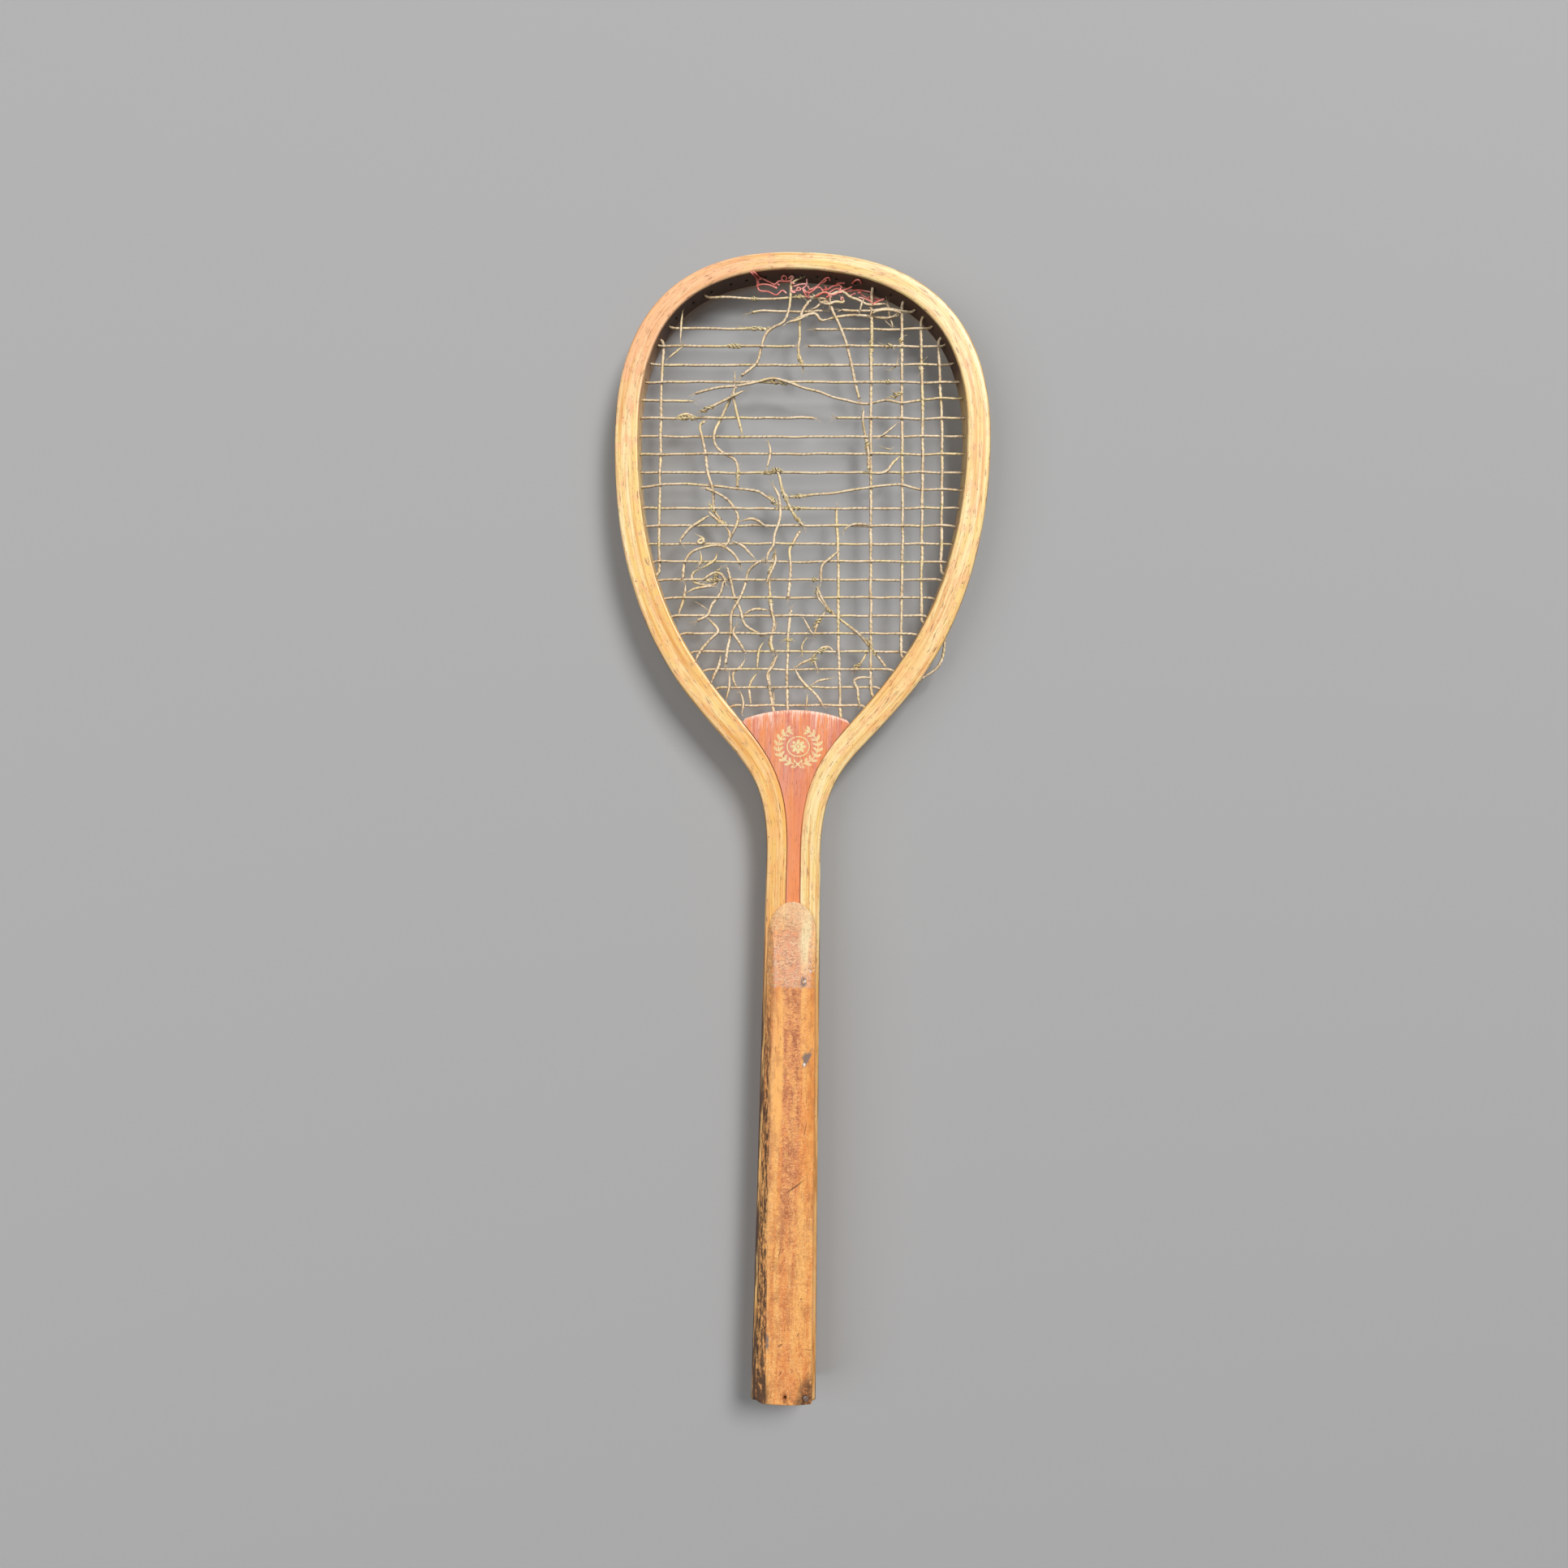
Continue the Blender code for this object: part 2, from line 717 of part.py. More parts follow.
red_strands = {
    "trebling_left": ([(6.5, 0.5), (6.6, 0.9), (7.1, 0.95), (7.6, 1.2), (7.9, 0.9), (8.15, 1.1)],
                      True, False),
    "trebling_right": ([(8.6, 0.95), (9.1, 0.85), (9.4, 1.1), (10.0, 0.7), (10.4, 1.1), (11.0, 0.75),
                        (11.6, 0.9), (12.2, 0.8), (12.6, 1.15), (13.4, 1.3)], False, False),
}

# Mains that are gone, but whose holes are still in the bow and in the crown
empty_top_columns = (2, 3, 4, 5, 6, 7, 9, 10, 11, 12, 14)
empty_foot_columns = (2, 3, 4, 5, 14)
empty_crown_columns = (9, 10)


def crossings(first, second):
    """Where two lines cross in the plane: their positions along each and the point."""
    found = []
    for i in range(len(first.line) - 1):
        for j in range(len(second.line) - 1):
            a, b, c, d = first.line[i], first.line[i + 1], second.line[j], second.line[j + 1]
            hit = intersect_line_line_2d(a, b, c, d)
            if hit is None:
                continue
            along_first = i + (hit - a).length / (b - a).length
            along_second = j + (hit - c).length / (d - c).length
            found.append((along_first, along_second, hit))
    return found


def lay_crosses():
    strands = {}
    for name, (row, start, end) in cross_pieces.items():
        points = [bed(0.0 if start is None else start, row), bed(right_of_bed if end is None else end, row)]
        middle = (points[0] + points[1]) / 2
        line, first, last = anchored([points[0], middle, points[1]], start is None, end is None)
        strands[name] = (row, Strand(name, line, first, last))
    for name, (places, start_held, end_held) in bent_crosses.items():
        line = curve_through([bed(*place) for place in places], 0.008)
        line, first, last = anchored(line, start_held, end_held)
        strands[name] = (int(name[6:8]), Strand(name, line, first, last))
    return strands


def lay_mains():
    strands = {}
    for name, (column, places, top, foot) in standing_mains.items():
        line = curve_through([bed(*place) for place in places], 0.030)
        line, first, last = anchored(line, top == "bow", foot == "bow")
        if foot == "crown":
            line[-1].y = crown_height(line[-1].x) + crown_stand
            line.append(line[-1] - Vector((0.0, crown_stand + crown_hole_depth - hole_gap)))
        strand = Strand(name, line, first, last)
        if foot == "crown":
            strand.add_knot(float(len(line) - 2), line[-2], 0.0)
            strand.add_knot(float(len(line) - 1), line[-1], 0.0)
        strands[name] = (column, strand)
    return strands


def weave(mains, crosses):
    """Where a main and a cross meet, one goes over and the other under, in turn."""
    lift = string_reach / 2
    for column, main in mains.values():
        for row, cross in crosses.values():
            for along_main, along_cross, point in crossings(main, cross):
                over = 1 if (row + column) % 2 == 0 else -1
                main.add_knot(along_main, point, over * lift)
                cross.add_knot(along_cross, point, -over * lift)


def nearest_height(point, path):
    """Distance in the plane from a point to a laid string, and that string's height there."""
    best = (1.0, 0.0)
    for first, second in zip(path, path[1:]):
        span = (second - first).to_2d()
        share = 0.0
        if span.length > 0:
            share = max(0.0, min(1.0, (point - first.to_2d()).dot(span) / span.length_squared))
        place = first.lerp(second, share)
        distance = (point - place.to_2d()).length
        if distance < best[0]:
            best = (distance, place.z)
    return best


def lay_loose(line, laid, reach, held):
    """Heights along a loose strand so that it clears all that is laid, over and under in turn."""
    side = 1
    touching = []
    for point in line:
        close = []
        for path in laid:
            distance, z = nearest_height(point, path)
            if distance < reach:
                close.append(z)
        touching.append(close)
    heights = {}
    free_since = None
    for index, close in enumerate(touching):
        if not close:
            if free_since is None:
                free_since = index
            continue
        if free_since is not None and (index - free_since) > 3 and heights:
            side = -side
        free_since = None
        heights[index] = (max(close) + reach) if side > 0 else (min(close) - reach)
    for end, index in enumerate((0, len(line) - 1)):
        if held[end]:
            heights[index] = 0.0
    marks = sorted(heights)
    path = []
    for index, point in enumerate(line):
        lower = [mark for mark in marks if mark <= index]
        upper = [mark for mark in marks if mark >= index]
        if lower and upper and upper[0] > lower[-1]:
            share = (index - lower[-1]) / (upper[0] - lower[-1])
            z = mix(heights[lower[-1]], heights[upper[0]], share)
        elif lower or upper:
            z = heights[lower[-1] if lower else upper[0]]
        else:
            z = 0.0
        path.append(flat(point, z))
    return path


def make_loose(strands, laid, diameter, material):
    for name, (places, start_held, end_held) in strands.items():
        line = curve_through([bed(*place) for place in places], 0.0016)
        line, first, last = anchored(line, start_held, end_held)
        reach = string_radius + diameter / 2 + string_gap + thinning_gap
        path = lay_loose(line, laid, reach, (start_held, end_held))
        path = thin_path(path, thinning_gap)
        for end, share in enumerate((first, last)):
            if share is not None:
                tail = [flat(hole_end(share))]
                path = tail + path if end == 0 else path + tail
        laid.append(path)
        make_string(name, path, diameter, material)


def cross_loops(crosses):
    """Each run in the groove joins two rows that are neighbours, left and right in turn."""
    shoulder_rows = range(15, 23)
    for end, parity in ((0, 1), (1, 0)):
        held = sorted((row, strand) for row, strand in crosses.values() if strand.sockets[end] is not None)
        for (row, strand), (next_row, below) in zip(held, held[1:]):
            if row % 2 != parity or next_row != row + 1:
                continue
            if end == 1 and row in shoulder_rows:
                continue
            low, high = sorted((strand.sockets[end], below.sockets[end]))
            if any(low + 0.01 < used < high - 0.01 for used in sockets):
                continue
            strand.loop_to[end] = below.sockets[end]


def make_bed(bow, wedge):
    crosses = lay_crosses()
    mains = lay_mains()
    weave(mains, crosses)
    laid = []
    for row, strand in crosses.values():
        laid.append(strand.bed_path())
    for column, strand in mains.values():
        laid.append(strand.bed_path())
    make_loose(loose_strands, laid, string_diameter, gut)
    make_loose(red_strands, laid, trebling_diameter, red_gut)
    cross_loops(crosses)
    for row, strand in crosses.values():
        make_string(strand.name, strand.path(), string_diameter, gut)
    for column, strand in mains.values():
        make_string(strand.name, strand.path(), string_diameter, gut)

    for column in empty_top_columns:
        claim_socket(meet_bow(bed(column, cross_count / 4), bed(column, 0.0)))
    for column in empty_foot_columns:
        claim_socket(meet_bow(bed(column, cross_count / 2), bed(column, cross_count + 2.0)))
    holes = bmesh.new()
    for share in sockets:
        inside, outside = inner_edge(share, 0.002), outer_edge(share, 0.002)
        bar(holes, flat(inside), flat(outside), hole_radius)
    cut(bow, holes, "string_holes")

    crown_places = [bed(column, cross_count).x for column in empty_crown_columns]
    crown_places += [strand.line[-1].x for column, strand in mains.values()
                     if standing_mains[strand.name][3] == "crown"]
    crown_holes = bmesh.new()
    for x in crown_places:
        bar(crown_holes, Vector((x, crown_height(x) - crown_hole_depth, 0.0)),
            Vector((x, crown_top_y + 0.002, 0.0)), hole_radius)
    cut(wedge, crown_holes, "crown_holes")


def make_groove_strand():
    """A run of string that has come out of the groove round the right shoulder."""
    start, end = [meet_bow(bed(middle_column, row), bed(right_of_bed, row)) for row in right_groove_rows]
    bulge_from = 0.55
    path = []
    steps = 22
    for step in range(steps + 1):
        along = step / steps
        out = 0.0
        if along > bulge_from:
            turn = (along - bulge_from) / (1 - bulge_from) * math.pi
            out = right_groove_bulge_height * math.sin(turn) ** 2
        path.append(flat(groove_point(mix(start, end, along), out)))
    make_string("groove_strand", path, string_diameter, gut)


bow = make_bow()
wedge = make_wedge()
front_cheek, back_cheek = make_cheeks()
for piece, name in ((front_cheek, "cheek_nail_holes"), (wedge, "stem_nail_hole"), (bow, "leg_nail_hole")):
    cut(piece, nail_cutter(), name)
make_nail()
make_bed(bow, wedge)
make_groove_strand()
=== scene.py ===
import heapq
import math
import random

import bmesh
import bpy
from mathutils import Matrix, Vector, noise
from mathutils.geometry import interpolate_bezier
from mathutils.kdtree import KDTree


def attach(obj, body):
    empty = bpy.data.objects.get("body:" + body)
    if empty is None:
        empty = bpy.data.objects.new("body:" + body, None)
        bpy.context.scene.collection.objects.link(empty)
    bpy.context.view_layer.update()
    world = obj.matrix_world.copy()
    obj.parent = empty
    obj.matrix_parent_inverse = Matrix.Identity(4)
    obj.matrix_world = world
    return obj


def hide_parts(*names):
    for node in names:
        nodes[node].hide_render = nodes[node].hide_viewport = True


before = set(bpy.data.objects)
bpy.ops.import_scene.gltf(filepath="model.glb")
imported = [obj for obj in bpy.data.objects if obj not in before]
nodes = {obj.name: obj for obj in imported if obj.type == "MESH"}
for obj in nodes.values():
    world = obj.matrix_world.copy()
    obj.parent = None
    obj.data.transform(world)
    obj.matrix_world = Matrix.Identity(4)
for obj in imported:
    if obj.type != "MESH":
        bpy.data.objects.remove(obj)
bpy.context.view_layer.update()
scene = bpy.context.scene
print("frame loaded")

# The racket is drawn with x across, y up from the butt and z out of the string plane.
racketShift = Vector((-0.0007, -0.3429, 0.015))

cameraLook = {
    "place": (-0.00725, 0.0246, 0.61425),
    "roll": 1.09,  # degrees
    "lens": 22.71,
}

bpy.ops.object.camera_add(location=cameraLook["place"], rotation=(0, 0, math.radians(cameraLook["roll"])))
camera = bpy.context.object
camera.data.lens = cameraLook["lens"]
camera.data.sensor_width = 36
scene.camera = camera
scene.view_settings.view_transform = "Standard"

# ---- shader helpers


class Value:
    # one output of a node; arithmetic on it adds Math nodes
    def __init__(self, finish, out):
        self.finish = finish
        self.out = out

    def math(self, operation, *others):
        return self.finish.add("Math", {"operation": operation}, [self, *others])

    def __add__(self, other):
        return self.math("ADD", other)

    def __sub__(self, other):
        return self.math("SUBTRACT", other)

    def __rsub__(self, other):
        return self.finish.add("Math", {"operation": "SUBTRACT"}, [other, self])

    def __mul__(self, other):
        return self.math("MULTIPLY", other)

    def __truediv__(self, other):
        return self.math("DIVIDE", other)

    def __pow__(self, other):
        return self.math("POWER", other)

    __radd__ = __add__
    __rmul__ = __mul__

    def clamped(self):
        return self.finish.add("Clamp", {}, [self, 0.0, 1.0])

    def band(self, low, high):
        # 0 below low, 1 above high, smooth between
        return self.finish.add("MapRange", {"interpolation_type": "SMOOTHSTEP"},
                               {"Value": self, "From Min": low, "From Max": high})


class Finish:
    def __init__(self, name, colour, roughness, metallic=0.0, coat=0.0, coatRoughness=0.2):
        self.material = bpy.data.materials.new(name)
        self.material.use_nodes = True
        self.tree = self.material.node_tree
        self.shader = self.tree.nodes["Principled BSDF"]
        self.material.diffuse_color = (*colour, 1)
        self.feed("Base Color", (*colour, 1))
        self.feed("Roughness", roughness)
        self.feed("Metallic", metallic)
        self.feed("Coat Weight", coat)
        self.feed("Coat Roughness", coatRoughness)

    def feed(self, socket, value):
        target = self.shader.inputs[socket]
        if isinstance(value, Value):
            self.tree.links.new(value.out, target)
        else:
            target.default_value = value

    def add(self, kind, settings, values, output=0):
        node = self.tree.nodes.new("ShaderNode" + kind)
        for key, setting in settings.items():
            if key == "stops":
                self.setStops(node.color_ramp, setting)
            else:
                setattr(node, key, setting)
        pairs = values.items() if isinstance(values, dict) else enumerate(values)
        for key, value in pairs:
            if isinstance(value, Value):
                self.tree.links.new(value.out, node.inputs[key])
            else:
                node.inputs[key].default_value = value
        return Value(self, node.outputs[output])

    def setStops(self, ramp, stops):
        while len(ramp.elements) < len(stops):
            ramp.elements.new(0.5)
        for element, (place, colour) in zip(ramp.elements, stops):
            element.position = place
            element.color = (*colour, 1)

    def mix(self, share, first, second, blend="MIX"):
        colours = [c if isinstance(c, Value) else (*c, 1) for c in (first, second)]
        return self.add("Mix", {"data_type": "RGBA", "blend_type": blend},
                        {0: share, 6: colours[0], 7: colours[1]}, 2)

    def ramp(self, value, stops):
        return self.add("ValToRGB", {"stops": stops}, [value])

    def place(self):
        return self.add("TexCoord", {}, [], "Object")

    def wrap(self):
        return self.add("UVMap", {"uv_map": "wrap"}, [])

    def stretched(self, vector, scale, shift=(0, 0, 0), turn=(0, 0, 0)):
        return self.add("Mapping", {}, {"Vector": vector, "Scale": scale, "Location": shift, "Rotation": turn})

    def noise(self, vector, scale=1.0, detail=4.0, roughness=0.55, distortion=0.0):
        return self.add("TexNoise", {}, {"Vector": vector, "Scale": scale, "Detail": detail,
                                         "Roughness": roughness, "Distortion": distortion})

    def cells(self, vector, scale, feature="F1"):
        return self.add("TexVoronoi", {"feature": feature}, {"Vector": vector, "Scale": scale})

    def part(self, vector, axis):
        return self.add("SeparateXYZ", {}, [vector], axis)

    def bump(self, height, strength=0.4, distance=0.0003):
        self.feed("Normal", self.add("Bump", {}, {"Height": height, "Strength": strength, "Distance": distance}))

    def spot(self, place, centre, size, soft=0.35):
        # 1 inside an upright oval round a place on the racket, 0 outside
        x = (self.part(place, 0) - (centre[0] + racketShift.x)) / size[0]
        y = (self.part(place, 1) - (centre[1] + racketShift.y)) / size[1]
        return 1 - (x * x + y * y).math("SQRT").band(1 - soft, 1 + soft)


# Old ash with a yellowed varnish: long grain, short dark pores, pink and orange clouds.
ashLook = {
    "straw": (0.91, 0.635, 0.215),
    "cream": (0.96, 0.78, 0.41),
    "pinkish": (0.93, 0.50, 0.27),
    "orange": (0.90, 0.43, 0.10),
    "amber": (0.70, 0.29, 0.055),
    "pore": (0.26, 0.10, 0.03),
    # the dirt colour also carries painted shade on the inner wall and a painted shadow line along the outer arris
    "dirt": (0.075, 0.035, 0.018),
    "roughness": 0.36,
}


def makeAsh():
    look = ashLook
    finish = Finish("oldAsh", look["straw"], look["roughness"], coatRoughness=0.25)
    wrap, place = finish.wrap(), finish.place()
    round_ = finish.part(wrap, 0)
    x, y = finish.part(place, 0) - racketShift.x, finish.part(place, 1) - racketShift.y
    broad = finish.noise(finish.stretched(wrap, (230, 7, 1)), 1.0, 4, 0.6, 0.25)
    fine = finish.noise(finish.stretched(wrap, (800, 16, 1), (3, 0, 0)), 1.0, 5, 0.7)
    clouds = finish.noise(finish.stretched(wrap, (80, 30, 1), (0, 5, 0)), 1.0, 4, 0.6)
    blotches = finish.noise(finish.stretched(wrap, (240, 90, 1), (2, 8, 0)), 1.0, 5, 0.65)
    pores = finish.noise(finish.stretched(wrap, (1500, 120, 1), (7, 1, 0)), 1.0, 3, 0.55)
    specks = finish.noise(finish.stretched(wrap, (900, 600, 1), (1, 9, 0)), 1.0, 2, 0.5)
    scrapes = finish.noise(finish.stretched(wrap, (300, 900, 1), (4, 2, 0)), 1.0, 3, 0.6)
    # pink at the upper left, orange at the shoulders and the left leg, cream along the right side
    upperLeft = (1 - x.band(-0.06, 0.01)) * y.band(0.56, 0.64)
    low = 1 - y.band(0.44, 0.53)
    rightSide = x.band(-0.01, 0.01)
    shaft = 1 - y.band(0.36, 0.42)
    colour = finish.mix(broad.band(0.40, 0.60), look["straw"], look["cream"])
    colour = finish.mix((upperLeft * 0.85 + blotches.band(0.46, 0.62) * 0.62).clamped(), colour, look["pinkish"])
    warm = low * (0.50 - rightSide * shaft * 0.50) * clouds.band(0.25, 0.62) + shaft * (1 - rightSide) * 0.30
    colour = finish.mix(warm.clamped(), colour, look["orange"])
    colour = finish.mix(fine.band(0.47, 0.64) * (0.50 + low * 0.2), colour, look["amber"])
    gleam = finish.noise(finish.stretched(wrap, (600, 18, 1), (9, 0, 0)), 1.0, 4, 0.6)
    gleaming = gleam.band(0.54, 0.68) * 0.42 + shaft * rightSide * gleam.band(0.40, 0.56) * 0.5
    colour = finish.mix(gleaming.clamped(), colour, look["cream"])
    colour = finish.mix(pores.band(0.585, 0.65) * blotches.band(0.33, 0.58) * 0.85, colour, look["pore"])
    colour = finish.mix(specks.band(0.68, 0.72) * 0.85, colour, look["pore"])
    bands = finish.noise(finish.stretched(wrap, (420, 9, 1), (6, 2, 0)), 1.0, 3, 0.6, 0.3)
    colour = finish.mix(bands.band(0.53, 0.64) * 0.52, colour, look["amber"])
    # dirt gathers along the inner arris and on the legs in the handle; the line along the outer arris is partly dirt
    # and partly painted shadow; the groove is darker; the inner wall has a light grime, with painted shade at the top
    # of the head and on the right
    folded = (round_ - ashMarks[-1] / 2).math("ABSOLUTE")
    innerLine = 1 - (folded - (ashMarks[-1] / 2 - 0.0084)).math("ABSOLUTE").band(0.0002, 0.0010)
    # partly dirt and partly painted shadow: a dark line along the outer arris
    outerDirtAndShadowLine = 1 - (folded - (ashMarks[-1] / 2 - 0.0226)).math("ABSOLUTE").band(0.0003, 0.0011)
    groove = (1 - folded.band(0.0040, 0.0058)) * y.band(0.3819, 0.3939)
    inside = folded.band(ashMarks[-1] / 2 - 0.0083, ashMarks[-1] / 2 - 0.0076)
    patchy = clouds.band(0.35, 0.6)
    dirt = innerLine * 0.5 * patchy + outerDirtAndShadowLine * 0.85 * fine.band(0.38, 0.56) + groove * 0.75
    # painted shade: the inner wall is darkened at the top of the head and along the right side, over a light grime all
    # round inside
    dirt = dirt + inside * y.band(0.585, 0.645) * 0.90 + inside * (0.10 + x.band(0.0, 0.05) * 0.35)
    handle = 1 - y.band(0.20, 0.30)
    side = folded.band(0.0040, 0.0060) * (1 - folded.band(0.011, 0.014))
    leftLeg = 1 - x.band(-0.006, 0.006)
    streaks = finish.noise(finish.stretched(wrap, (420, 26, 1), (0, 3, 0)), 1.0, 5, 0.7)
    colour = finish.mix(handle * (1 - leftLeg) * (0.55 + streaks.band(0.45, 0.6) * 0.35), colour, look["amber"])
    legDirt = streaks.band(0.40, 0.55) * 0.75 + 0.15
    dirt = dirt + handle * leftLeg * legDirt + handle * side * streaks.band(0.5, 0.7) * 0.5
    colour = finish.mix(dirt.clamped(), colour, look["dirt"])
    finish.feed("Base Color", colour)
    finish.feed("Roughness", (0.30 + broad * 0.14 + dirt.clamped() * 0.25 + scrapes.band(0.6, 0.75) * 0.2).clamped())
    finish.feed("Coat Weight", (0.35 - dirt.clamped() * 0.3 - handle * 0.2).clamped())
    finish.bump(fine * 0.5 - pores.band(0.60, 0.67) * 0.8 + scrapes * 0.25 + clouds * 0.6, 0.35, 0.00022)
    return finish


# Mahogany: red brown with worn pale streaks under the crown, a pale rim under the crown edge that is partly wear and
# partly painted highlight, and a gilt wreath round a rosette.
mahoganyLook = {
    "deep": (0.46, 0.10, 0.055),
    "red": (0.76, 0.25, 0.16),
    "orange": (0.88, 0.29, 0.10),
    "worn": (0.97, 0.72, 0.58),
    "pore": (0.20, 0.05, 0.025),
    "gilt": (0.92, 0.78, 0.40),
    "wreath": (0.0015, 0.3900),  # middle, from the butt
    "radius": 0.0118,
    "leafEvery": 0.0037,
    "leaf": (0.00215, 0.00078),
    "rosette": 0.0048,
}


def giltMask(finish, x, y):
    look = mahoganyLook
    across, up = x - look["wreath"][0], (y - look["wreath"][1]) * 1.12
    radius = (across * across + up * up).math("SQRT")
    angle = across.math("ABSOLUTE").math("ARCTAN2", up)  # from 0 at the top to pi at the foot
    out = radius - look["radius"]
    onSprig = angle.band(0.28, 0.34) * (1 - angle.band(2.92, 2.98))
    stem = 1 - out.math("ABSOLUTE").band(0.00020, 0.00040)
    along = (angle * look["radius"]).math("MODULO", look["leafEvery"]) - look["leafEvery"] * 0.5
    side = out.math("ABSOLUTE") - 0.00135
    tilt = math.radians(52)
    lengthwise = side * math.sin(tilt) - along * math.cos(tilt)
    widthwise = side * math.cos(tilt) + along * math.sin(tilt)
    leafShape = ((lengthwise / look["leaf"][0]) ** 2.0 + (widthwise / look["leaf"][1]) ** 2.0).math("SQRT")
    leaf = (1 - leafShape.band(0.85, 1.15)) * widthwise.math("ABSOLUTE").band(0.00002, 0.00014)
    sprigs = stem.math("MAXIMUM", leaf) * onSprig
    turned = (angle * 4.0).math("COSINE").math("ABSOLUTE")
    petals = 1 - (radius / (turned ** 0.7 * 0.55 + 0.45) / look["rosette"]).band(0.9, 1.06)
    petals = petals * radius.band(0.0012, 0.0015)
    heart = 1 - radius.band(0.0008, 0.0010)
    ring = 1 - (radius - 0.0066).math("ABSOLUTE").band(0.00022, 0.00042)
    low = up + look["radius"]
    tie = (1 - (across.math("ABSOLUTE") - low.math("ABSOLUTE") * 0.9).math("ABSOLUTE").band(0.0003, 0.0005))
    tie = tie * (1 - low.math("ABSOLUTE").band(0.0023, 0.0026))
    knot = 1 - (across * across + low * low).math("SQRT").band(0.0008, 0.0010)
    mask = sprigs.math("MAXIMUM", petals).math("MAXIMUM", heart).math("MAXIMUM", ring)
    return mask.math("MAXIMUM", tie).math("MAXIMUM", knot)


def makeMahogany():
    look = mahoganyLook
    finish = Finish("redMahogany", look["red"], 0.34, coatRoughness=0.2)
    place = finish.place()
    x, y = finish.part(place, 0) - racketShift.x, finish.part(place, 1) - racketShift.y
    z = finish.part(place, 2) - racketShift.z
    broad = finish.noise(finish.stretched(place, (260, 16, 200)), 1.0, 4, 0.6, 0.3)
    fine = finish.noise(finish.stretched(place, (1500, 34, 900)), 1.0, 5, 0.7)
    pores = finish.noise(finish.stretched(place, (3000, 190, 2000)), 1.0, 2, 0.5)
    clouds = finish.noise(finish.stretched(place, (90, 45, 90)), 1.0, 4, 0.6)
    colour = finish.mix(broad.band(0.38, 0.62), look["red"], look["orange"])
    colour = finish.mix(fine.band(0.48, 0.70) * 0.6, colour, look["deep"])
    shaft = 1 - y.band(0.345, 0.385)
    colour = finish.mix(shaft * 0.55, colour, look["orange"])
    crown = y.band(0.396, 0.411)
    streaks = finish.noise(finish.stretched(place, (1700, 70, 900), (2, 0, 0)), 1.0, 5, 0.65)
    rim = y - (0.41195 - x * x * 5.3)  # from the edge of the crown, downwards
    # partly wear and partly painted highlight: the rim just under the crown edge is painted pale
    rimWearAndHighlight = rim.band(-0.0030, -0.0004)
    worn = (crown * 0.8 + 0.28 - shaft * 0.2) * streaks.band(0.48, 0.60) * clouds.band(0.30, 0.55)
    worn = worn + rimWearAndHighlight * streaks.band(0.38, 0.55) * 0.8
    colour = finish.mix((worn * 0.85).clamped(), colour, look["worn"])
    colour = finish.mix(pores.band(0.64, 0.70) * 0.7, colour, look["pore"])
    rubbed = finish.noise(finish.stretched(place, (1600, 1600, 1600)), 1.0, 3, 0.6)
    gilt = giltMask(finish, x, y) * z.band(0.008, 0.009)
    gilt = gilt * (1 - (rubbed * 0.6 + clouds * 0.4).band(0.50, 0.62) * 0.75)
    colour = finish.mix(gilt.clamped(), colour, look["gilt"])
    finish.feed("Base Color", colour)
    finish.feed("Metallic", gilt * 0.25)
    finish.feed("Roughness", (0.28 + broad * 0.12 + worn * 0.2 + gilt * 0.05).clamped())
    finish.feed("Coat Weight", (0.4 - worn * 0.3).clamped())
    finish.bump(fine * 0.4 - pores.band(0.64, 0.70) * 0.8 + gilt * 0.25 + streaks * 0.3, 0.35, 0.0002)
    return finish


# The cheeks: varnish wrinkled under the arch, bare worn wood below, blackened along the left side.
handleLook = {
    "wood": (0.86, 0.30, 0.075),
    "pale": (0.97, 0.485, 0.145),
    "red": (0.78, 0.29, 0.12),
    "brown": (0.40, 0.12, 0.045),
    "pink": (0.92, 0.46, 0.29),
    "orange": (0.80, 0.30, 0.06),
    "paintedLightHoney": (1.0, 0.47, 0.13),
    "umber": (0.22, 0.075, 0.030),
    "gleam": (0.98, 0.80, 0.46),
    "black": (0.030, 0.016, 0.010),
    "soot": (0.115, 0.045, 0.018),
    "rust": (0.30, 0.07, 0.02),
    "silver": (0.19, 0.15, 0.14),
    "bright": (0.85, 0.84, 0.82),
    "crack": (0.36, 0.11, 0.05),
    "crazedFrom": 0.2467,
    "redBand": (-0.0041, 0.0058),  # the stained middle, across
    "patch": (-0.0074, 0.1996, 0.0036, 0.0460),
    "paintedGlare": (0.0084, 0.2790, 0.0040, 0.0180, 0),
    "nail": (0.0133, 0.0051),
    "nailHole": (0.0008, 0.0051),
    "marks": (  # middle, half sizes, turn in degrees
        (-0.0026, 0.0357, 0.0018, 0.00035, 35),
        (0.0093, 0.0632, 0.0005, 0.0005, 0),
        (0.0144, 0.0330, 0.0034, 0.00022, -6),
        (0.0045, 0.1296, 0.0064, 0.00045, 36),
        (-0.0040, 0.0900, 0.0050, 0.00018, 78),
        (0.0100, 0.1640, 0.0040, 0.00018, 80),
        (-0.0022, 0.0190, 0.0020, 0.00020, 60),
        (0.0078, 0.0420, 0.0011, 0.00030, 70),
        (-0.0060, 0.0630, 0.0016, 0.00022, 20),
    ),
    "scars": (
        (0.0072, 0.2507, 0.0018, 0.0028, 0),
        (0.0108, 0.2062, 0.0012, 0.0060, -28),
        (0.0090, 0.2050, 0.0017, 0.0042, -8),
        (-0.0103, 0.0370, 0.0010, 0.0046, 0),
    ),
    "paintedGlints": (
        (0.0086, 0.2020, 0.0007, 0.0009, 0),
        (0.0081, 0.2512, 0.0005, 0.0007, 0),
        (0.0112, 0.2570, 0.0005, 0.0007, 0),
    ),
}


